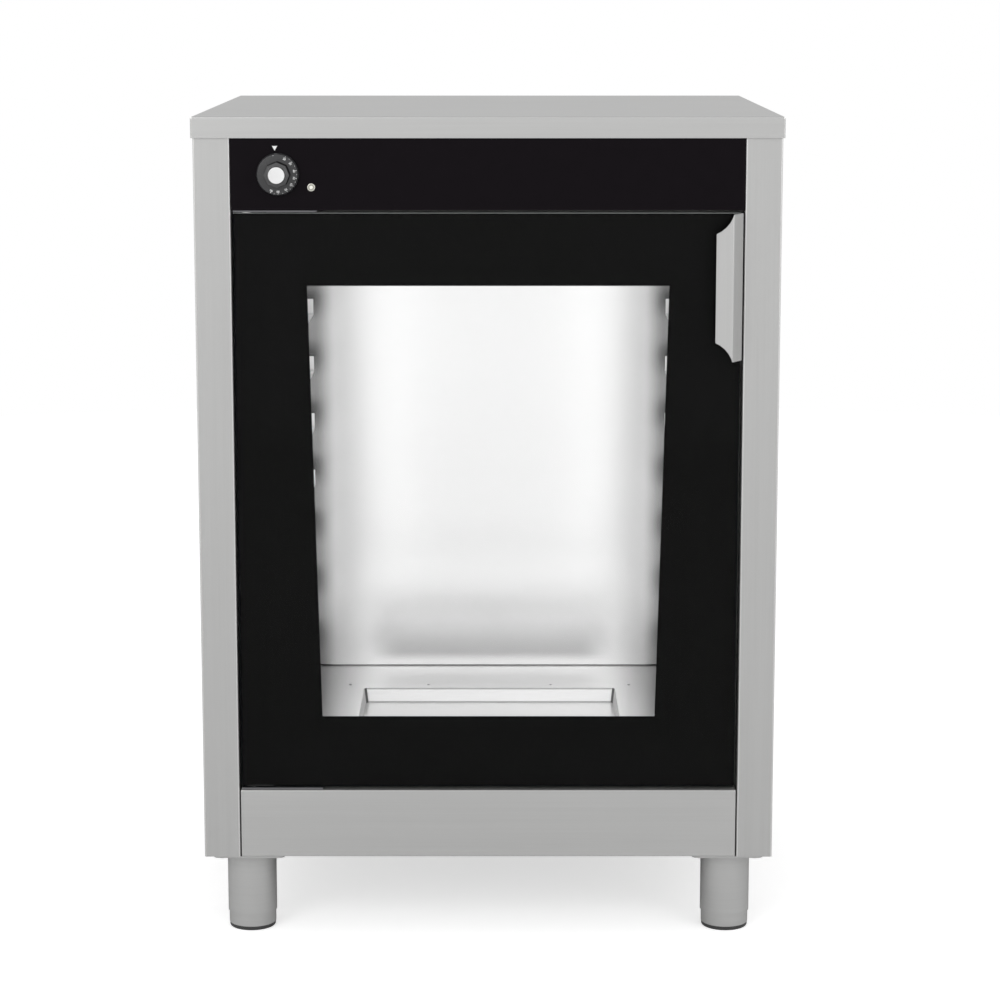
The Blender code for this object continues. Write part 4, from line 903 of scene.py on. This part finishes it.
def make_cap():
    """The white cap, whose crown falls off as the square of the radius."""
    low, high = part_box("knob_cap")
    depth = high.y - low.y
    crown = arc((CAP_RADIUS - CAP_EDGE, depth - CAP_CROWN - CAP_EDGE), CAP_EDGE, 90, 0)
    middle = (CAP_RADIUS / 2, depth - CAP_CROWN / 4)
    profile = [(0, depth), middle, *crown, (CAP_RADIUS, 0), (0, 0)]
    cap = turned("thermostat_cap", profile, (CAP_CENTRE.x, high.y, CAP_CENTRE.z), "front")
    settle(cap, "knob", SLOTS["knob_cap"], CAP_PLASTIC, "knob_cap")


def make_scale():
    """The dial's print: ticks with numbers, ticks between them and a zero dot."""
    marks = []
    for angle, number in zip(MAJOR_ANGLES, NUMBERS):
        tick = flat_bar(MARK_WIDTH, MARK_OUTER - MARK_INNER)
        marks.append((tick, dial_place(angle, (MARK_OUTER + MARK_INNER) / 2)))
        marks.append((number_mesh(number), dial_place(angle, NUMBER_RADIUS)))
    for angle in MINOR_ANGLES:
        tick = flat_bar(MARK_WIDTH, MARK_OUTER - MINOR_INNER)
        marks.append((tick, dial_place(angle, (MARK_OUTER + MINOR_INNER) / 2)))
    marks.append((flat_bar(ZERO_SIZE, ZERO_SIZE), dial_place(ZERO_ANGLE, ZERO_RADIUS)))
    scale = link("dial_scale", joined("dial_scale", marks))
    scale_y = KNOB_SEAT.y - DIAL_THICKNESS - DECAL_GAP
    scale.data.transform(Matrix.Translation((KNOB_SEAT.x, scale_y, KNOB_SEAT.z)))
    settle(scale, "knob", SLOTS["knob_cap"], WHITE_PRINT)


# Pilot lamp

LAMP_FLANGE_RADIUS = 0.0041
LAMP_FLANGE_THICKNESS = 0.0012
LAMP_FLANGE_EDGE = 0.0005
LAMP_BODY_RADIUS = 0.0035
LAMP_SEAT = 0.0003
LENS_RADIUS = 0.0025
LENS_DOME = 0.0011
LENS_DEPTH = 0.0022
LENS_CORE_RADIUS = 0.0017
LENS_CORE_BLUR = 0.3
LENS_STEPS = 8
LENS_CORE_COLOUR = (0.98, 0.97, 0.90)
LENS_RING_COLOUR = (0.42, 0.41, 0.33)
LENS_FACET_SCALE = 1600.0
LENS_FACET_BUMP = 0.2
LENS_FACET_HEIGHT = 0.0001


def lens_material():
    """Cream plastic lens with a bright core and a darker ring round it."""
    material, tree, shader = new_material("pilot_lens_plastic", Roughness=0.16)
    parts = place_parts(tree)
    x_step = math_node(tree, "SUBTRACT", parts["X"], LAMP_CENTRE.x)
    z_step = math_node(tree, "SUBTRACT", parts["Z"], LAMP_CENTRE.z)
    square = math_node(tree, "ADD", product(tree, x_step, x_step), product(tree, z_step, z_step))
    distance = math_node(tree, "SQRT", square)
    near, far = LENS_CORE_RADIUS * (1 - LENS_CORE_BLUR), LENS_CORE_RADIUS * (1 + LENS_CORE_BLUR)
    share = spread_value(tree, distance, 0.0, 1.0, near, far)
    tone = blend_colours(tree, share, LENS_CORE_COLOUR, LENS_RING_COLOUR)
    tree.links.new(tone, shader.inputs["Base Color"])
    facets = noise(tree, even(LENS_FACET_SCALE), detail=1.0)
    set_bump(tree, shader, facets, LENS_FACET_BUMP, LENS_FACET_HEIGHT)
    return material


def make_pilot_lamp():
    """The lamp's bright ring and its domed lens."""
    face = LAMP_SEAT + LAMP_FLANGE_THICKNESS
    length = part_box("pilot_lamp_body")[1].y - FACE_Y
    mouth = LENS_RADIUS + LAMP_SEAT / 2
    edge_centre = (LAMP_FLANGE_RADIUS - LAMP_FLANGE_EDGE, face - LAMP_FLANGE_EDGE)
    edge = arc(edge_centre, LAMP_FLANGE_EDGE, 90, 0)
    profile = [
        (0, face - LENS_DEPTH),
        (mouth, face - LENS_DEPTH),
        (mouth, face),
        *edge,
        (LAMP_FLANGE_RADIUS, LAMP_SEAT),
        (LAMP_BODY_RADIUS, LAMP_SEAT),
        (LAMP_BODY_RADIUS, -length),
        (0, -length),
    ]
    where = (LAMP_CENTRE.x, FACE_Y, LAMP_CENTRE.z)
    ring = turned("pilot_lamp_ring", profile, where, "front", FINE_STEPS)
    settle(ring, "cabinet", SLOTS["pilot_lamp_body"], LAMP_METAL, "pilot_lamp_body")
    rear = face - LENS_DEPTH + LAMP_SEAT
    lens_profile = [*dome(LENS_RADIUS, LENS_DOME, LENS_STEPS, face), (LENS_RADIUS, rear), (0, rear)]
    lens = turned("pilot_lamp_dome", lens_profile, where, "front", FINE_STEPS)
    settle(lens, "cabinet", SLOTS["pilot_lamp_lens"], lens_material(), "pilot_lamp_lens")


# Prints on the fascia

POINTER_SIDE_STEP = -0.0028
POINTER_RISE = 0.0236
POINTER_WIDTH = 0.0054
POINTER_HEIGHT = 0.0048


def printed_shape(name, outline):
    """A thin printed shape on the fascia from an outline in X and Z."""
    bm = bmesh.new()
    y = FACE_Y - DECAL_GAP
    face = bm.faces.new([bm.verts.new((x, y, z)) for x, z in outline])
    grown = bmesh.ops.extrude_face_region(bm, geom=[face])["geom"]
    moved = [item for item in grown if isinstance(item, bmesh.types.BMVert)]
    bmesh.ops.translate(bm, verts=moved, vec=(0, -DECAL_THICKNESS, 0))
    bmesh.ops.recalc_face_normals(bm, faces=bm.faces)
    return link(name, mesh_of(name, bm))


def make_pointer():
    """The white triangle above the dial, printed on the fascia."""
    x = KNOB_SEAT.x + POINTER_SIDE_STEP
    z = KNOB_SEAT.z + POINTER_RISE
    half = POINTER_WIDTH / 2
    outline = [(x - half, z + POINTER_HEIGHT), (x, z), (x + half, z + POINTER_HEIGHT)]
    piece = printed_shape("dial_pointer", outline)
    settle(piece, "cabinet", SLOTS["control_fascia"], WHITE_PRINT)


# Screws, rivets and washers

SCREW_HEAD_RADIUS = 0.0040
SCREW_HEAD_HEIGHT = 0.0020
SCREW_CROWN_SHARE = 0.6
SCREW_CROSS_LENGTH = 0.0044
SCREW_CROSS_WIDTH = 0.0008
SCREW_CROSS_DEPTH = 0.0012
SCREW_CROSS_TAPER = 0.5
SCREW_SHANK_RADIUS = 0.0020
SCREW_SHANK_LENGTH = 0.0040
BACK_SCREW_EDGE = 0.011
BACK_SCREW_ROWS = 4
LEG_SCREW_EDGE = 0.0085
LEG_PLATE_THICKNESS = 0.002
HANDLE_SCREW_SHARES = (0.2, 0.8)
HANDLE_SCREW_SETBACK = 0.009
HANDLE_SCREW_HEAD_RADIUS = 0.0036
HANDLE_SCREW_HEAD_HEIGHT = 0.0004
RIVET_RADIUS = 0.0017
RIVET_HEIGHT = 0.0007
RIVET_STEPS = 24
RIVET_DOME_STEPS = 6
RIVET_PLACES = (-0.164, -0.072, 0.072, 0.164)
RIVET_SETBACK = 0.016
WELL_BACK_MARGIN = 0.112
WASHER_RADIUS = 0.0049
WASHER_BORE_RADIUS = 0.0026
WASHER_THICKNESS = 0.0006
WASHER_SEAT = 0.0001


def screw_mesh(radius=SCREW_HEAD_RADIUS, height=SCREW_HEAD_HEIGHT):
    """A pan-head screw whose seat is at the origin, with a cross recess."""
    bend = height * SCREW_CROWN_SHARE
    crown = arc((radius - bend, height - bend), bend, 90, 0, steps=5)
    profile = [
        (0, height),
        *crown,
        (radius, 0),
        (SCREW_SHANK_RADIUS, 0),
        (SCREW_SHANK_RADIUS, -SCREW_SHANK_LENGTH),
        (0, -SCREW_SHANK_LENGTH),
    ]
    head = link("screw", turned_mesh("screw", profile, SMALL_STEPS))
    cutters = []
    cross_size = (SCREW_CROSS_LENGTH, SCREW_CROSS_WIDTH, 2 * SCREW_CROSS_DEPTH, 1)
    for turn in (0, math.pi / 2):
        bm = bmesh.new()
        bmesh.ops.create_cube(bm, size=1)
        bm.transform(Matrix.Diagonal(cross_size))
        for vert in bm.verts:
            if vert.co.z < 0:
                vert.co.x *= SCREW_CROSS_TAPER
        bm.transform(Matrix.Translation((0, 0, height)) @ Matrix.Rotation(turn, 4, "Z"))
        cutter = link("cross", mesh_of("cross", bm))
        modifier = head.modifiers.new("cross", "BOOLEAN")
        modifier.object = cutter
        modifier.solver = "EXACT"
        cutters.append(cutter)
    mesh = evaluated_mesh(head, "screw")
    for cutter in cutters:
        bpy.data.objects.remove(cutter, do_unlink=True)
    shade(mesh)
    return mesh


def screw_group(name, mesh, places, facing, body, slot_node, material=SCREW_STEEL):
    """Copies of one screw at several places, as one piece."""
    copies = [(mesh, Matrix.Translation(Vector(place)) @ FACING[facing]) for place in places]
    piece = link(name, joined(name, copies))
    settle(piece, body, SLOTS[slot_node], material)


def make_hinge_washers():
    """A nylon washer on each hinge pin, between the door and its hinge plate."""
    top = WASHER_SEAT + WASHER_THICKNESS
    profile = [
        (WASHER_BORE_RADIUS, WASHER_SEAT),
        (WASHER_RADIUS, WASHER_SEAT),
        (WASHER_RADIUS, top),
        (WASHER_BORE_RADIUS, top),
        (WASHER_BORE_RADIUS, WASHER_SEAT),
    ]
    low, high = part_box("door_glass")
    for word, z, facing in (("upper", high.z, "up"), ("lower", low.z, "down")):
        where = (HINGE_X, HINGE_Y, z)
        washer = turned(f"hinge_washer_{word}", profile, where, facing, FINE_STEPS)
        settle(washer, "door", SLOTS[f"hinge_block_{word}"], NYLON)


def make_panel_screws():
    """The screws along the back panel's sides and under the plates of the legs."""
    screw = screw_mesh()
    low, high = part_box("back_panel")
    bottom = low.z + BACK_SCREW_EDGE
    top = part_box("worktop")[0].z - BACK_SCREW_EDGE
    rows = [bottom + (top - bottom) * row / (BACK_SCREW_ROWS - 1) for row in range(BACK_SCREW_ROWS)]
    across = high.x - BACK_SCREW_EDGE
    places = [(side * across, high.y, z) for side in (-1, 1) for z in rows]
    screw_group("back_panel_screws", screw, places, "back", "cabinet", "back_panel")

    for corner in CORNERS:
        low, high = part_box(f"leg_{corner}")
        plate_low = high.z - LEG_PLATE_THICKNESS
        spots = []
        for x in (low.x + LEG_SCREW_EDGE, high.x - LEG_SCREW_EDGE):
            for y in (low.y + LEG_SCREW_EDGE, high.y - LEG_SCREW_EDGE):
                spots.append((x, y, plate_low))
        screw_group(f"leg_screws_{corner}", screw, spots, "down", "cabinet", "back_panel")


def make_handle_screws():
    """The flat screws in the handle's outer side."""
    low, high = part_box("door_handle")
    height = high.z - low.z
    screw_y = FACE_Y + HANDLE_SCREW_SETBACK
    spots = [(high.x, screw_y, low.z + share * height) for share in HANDLE_SCREW_SHARES]
    flat_screw = screw_mesh(HANDLE_SCREW_HEAD_RADIUS, HANDLE_SCREW_HEAD_HEIGHT)
    screw_group("handle_screws", flat_screw, spots, "right", "door", "door_handle")


def make_rivets():
    """The rivets along the back of the chamber's floor."""
    floor_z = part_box("chamber_floor")[1].z
    rivet_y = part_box("chamber_side_left")[1].y - WELL_BACK_MARGIN + RIVET_SETBACK
    head = dome(RIVET_RADIUS, RIVET_HEIGHT, RIVET_DOME_STEPS)
    rivet = turned_mesh("rivet", [*head, (0, 0)], RIVET_STEPS)
    spots = [(x, rivet_y, floor_z) for x in RIVET_PLACES]
    screw_group("chamber_floor_rivets", rivet, spots, "up", "cabinet", "chamber_floor", ZINC)


# All pieces

dress_frame()
for corner in CORNERS:
    make_leg(corner)
make_dial()
make_grip()
make_cap()
make_scale()
make_pilot_lamp()
make_pointer()
make_hinge_washers()
make_panel_screws()
make_handle_screws()
make_rivets()


# Studio: the white surroundings, the floor, two soft lamps, the chamber's lamps and the camera

# The floor and the surroundings
FLOOR_RADIUS = 3.6
FLOOR_ALBEDO = 0.77
FLOOR_SPECKLE = 0.01
FLOOR_SPECKLE_SCALE = 40.0
FLOOR_GLOW = 0.57
WORLD_LIGHT = 0.70
HORIZON_GLOSS = 0.86
HORIZON_RISE = 0.5

# Two soft lamps, with powers in watts
MIDDLE = (0, 0, 0.45)
LAMP_SIZE = 1.6
KEY_PLACE = (-1.7, -2.9, 1.9)
KEY_POWER = 26
FILL_PLACE = (2.1, -2.4, 1.5)
FILL_POWER = 16

# The chamber's lamps, and the window in the print that four of them stand round
MOUTH_RADIANCE = 0.29
BORDER_RADIANCE = 0.72
SIDE_RADIANCE = 7.6
WINDOW_HALF = 0.179
WINDOW_BOTTOM = 0.2375
WINDOW_TOP = 0.6886


def seen_directly(tree):
    """1 for rays from the camera or through glass, and 1 for glossy rays, as two values."""
    path = add_node(tree, "ShaderNodeLightPath")
    camera, through_glass = path.outputs["Is Camera Ray"], path.outputs["Is Transmission Ray"]
    return math_node(tree, "MAXIMUM", camera, through_glass), path.outputs["Is Glossy Ray"]


def make_world():
    """White surroundings, dimmer as a light than as a background, a touch softer near the horizon."""
    world = bpy.data.worlds.new("studio")
    bpy.context.scene.world = world
    world.use_nodes = True
    tree = world.node_tree
    background = tree.nodes["Background"]
    background.inputs["Color"].default_value = (*even(1.0), 1.0)
    direct, glossy = seen_directly(tree)
    place = add_node(tree, "ShaderNodeTexCoord")
    parts = add_node(tree, "ShaderNodeSeparateXYZ", inputs={0: place.outputs["Generated"]})
    height = math_node(tree, "ABSOLUTE", parts.outputs["Z"])
    mirrored = spread_value(tree, height, HORIZON_GLOSS, 1.0, 0.0, HORIZON_RISE)
    lit = add_node(
        tree, "ShaderNodeMix", inputs={"Factor": glossy, "A": WORLD_LIGHT, "B": mirrored}
    )
    strength = add_node(
        tree, "ShaderNodeMix", inputs={"Factor": direct, "A": lit.outputs["Result"], "B": 1.0}
    )
    tree.links.new(strength.outputs["Result"], background.inputs["Strength"])


def make_floor():
    """A pale floor that keeps the shadow and meets the white background."""
    bm = bmesh.new()
    bmesh.ops.create_circle(bm, cap_ends=True, segments=ROUND_STEPS, radius=FLOOR_RADIUS)
    floor = link("studio_floor", mesh_of("studio_floor", bm))
    material, tree, shader = new_material("studio_floor")
    tree.nodes.remove(shader)
    fine = noise(tree, even(FLOOR_SPECKLE_SCALE))
    speckle = spread_value(tree, fine, FLOOR_ALBEDO - FLOOR_SPECKLE, FLOOR_ALBEDO + FLOOR_SPECKLE)
    paint = add_node(tree, "ShaderNodeBsdfDiffuse", inputs={"Color": speckle})
    glow = add_node(
        tree,
        "ShaderNodeEmission",
        inputs={"Strength": math_node(tree, "MULTIPLY", seen_directly(tree)[0], FLOOR_GLOW)},
    )
    both = add_node(tree, "ShaderNodeAddShader", inputs={0: paint.outputs[0], 1: glow.outputs[0]})
    tree.links.new(both.outputs[0], tree.nodes["Material Output"].inputs["Surface"])
    floor.data.materials.append(material)


def make_lamp(name, place, target, size, power, height=None):
    """A soft lamp that points at a target, square unless it has a height."""
    data = bpy.data.lights.new(name, "AREA")
    data.size = size
    data.energy = power
    if height:
        data.shape = "RECTANGLE"
        data.size_y = height
    lamp = link(name, data)
    lamp.location = place
    lamp.rotation_euler = (Vector(target) - Vector(place)).to_track_quat("-Z", "Y").to_euler()


def make_chamber_lamps():
    """Soft lamps in the chamber's mouth, one over it all and one behind each stretch of the print."""
    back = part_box("chamber_back")[0].y
    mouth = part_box("chamber_side_left")[0].y
    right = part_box("runner_right_1")[0].x
    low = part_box("chamber_floor")[1].z
    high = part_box("chamber_ceiling")[0].z
    panes = (
        ("mouth", -right, right, low, high, MOUTH_RADIANCE),
        ("left", -right, -WINDOW_HALF, low, high, SIDE_RADIANCE),
        ("right", WINDOW_HALF, right, low, high, SIDE_RADIANCE),
        ("lower", -WINDOW_HALF, WINDOW_HALF, low, WINDOW_BOTTOM, BORDER_RADIANCE),
        ("upper", -WINDOW_HALF, WINDOW_HALF, WINDOW_TOP, high, BORDER_RADIANCE),
    )
    for word, x_low, x_high, z_low, z_high, radiance in panes:
        x = (x_low + x_high) / 2
        z = (z_low + z_high) / 2
        width = x_high - x_low
        height = z_high - z_low
        power = radiance * math.pi * width * height
        make_lamp(f"chamber_lamp_{word}", (x, mouth, z), (x, back, z), width, power, height)


def make_camera():
    """The camera in front of the door, a little above the worktop and pitched down."""
    data = bpy.data.cameras.new("camera")
    data.lens = CAMERA_LENS
    data.sensor_width = CAMERA_SENSOR
    data.shift_y = CAMERA_SHIFT_Y
    camera = link("camera", data)
    camera.location = (CAMERA_X, FACE_Y - CAMERA_DISTANCE, CAMERA_Z)
    camera.rotation_euler = (math.pi / 2 - CAMERA_PITCH, 0, 0)
    bpy.context.scene.camera = camera


make_world()
make_floor()
make_lamp("key_lamp", KEY_PLACE, MIDDLE, LAMP_SIZE, KEY_POWER)
make_lamp("fill_lamp", FILL_PLACE, MIDDLE, LAMP_SIZE, FILL_POWER)
make_chamber_lamps()
make_camera()
bpy.context.scene.view_settings.view_transform = "Standard"
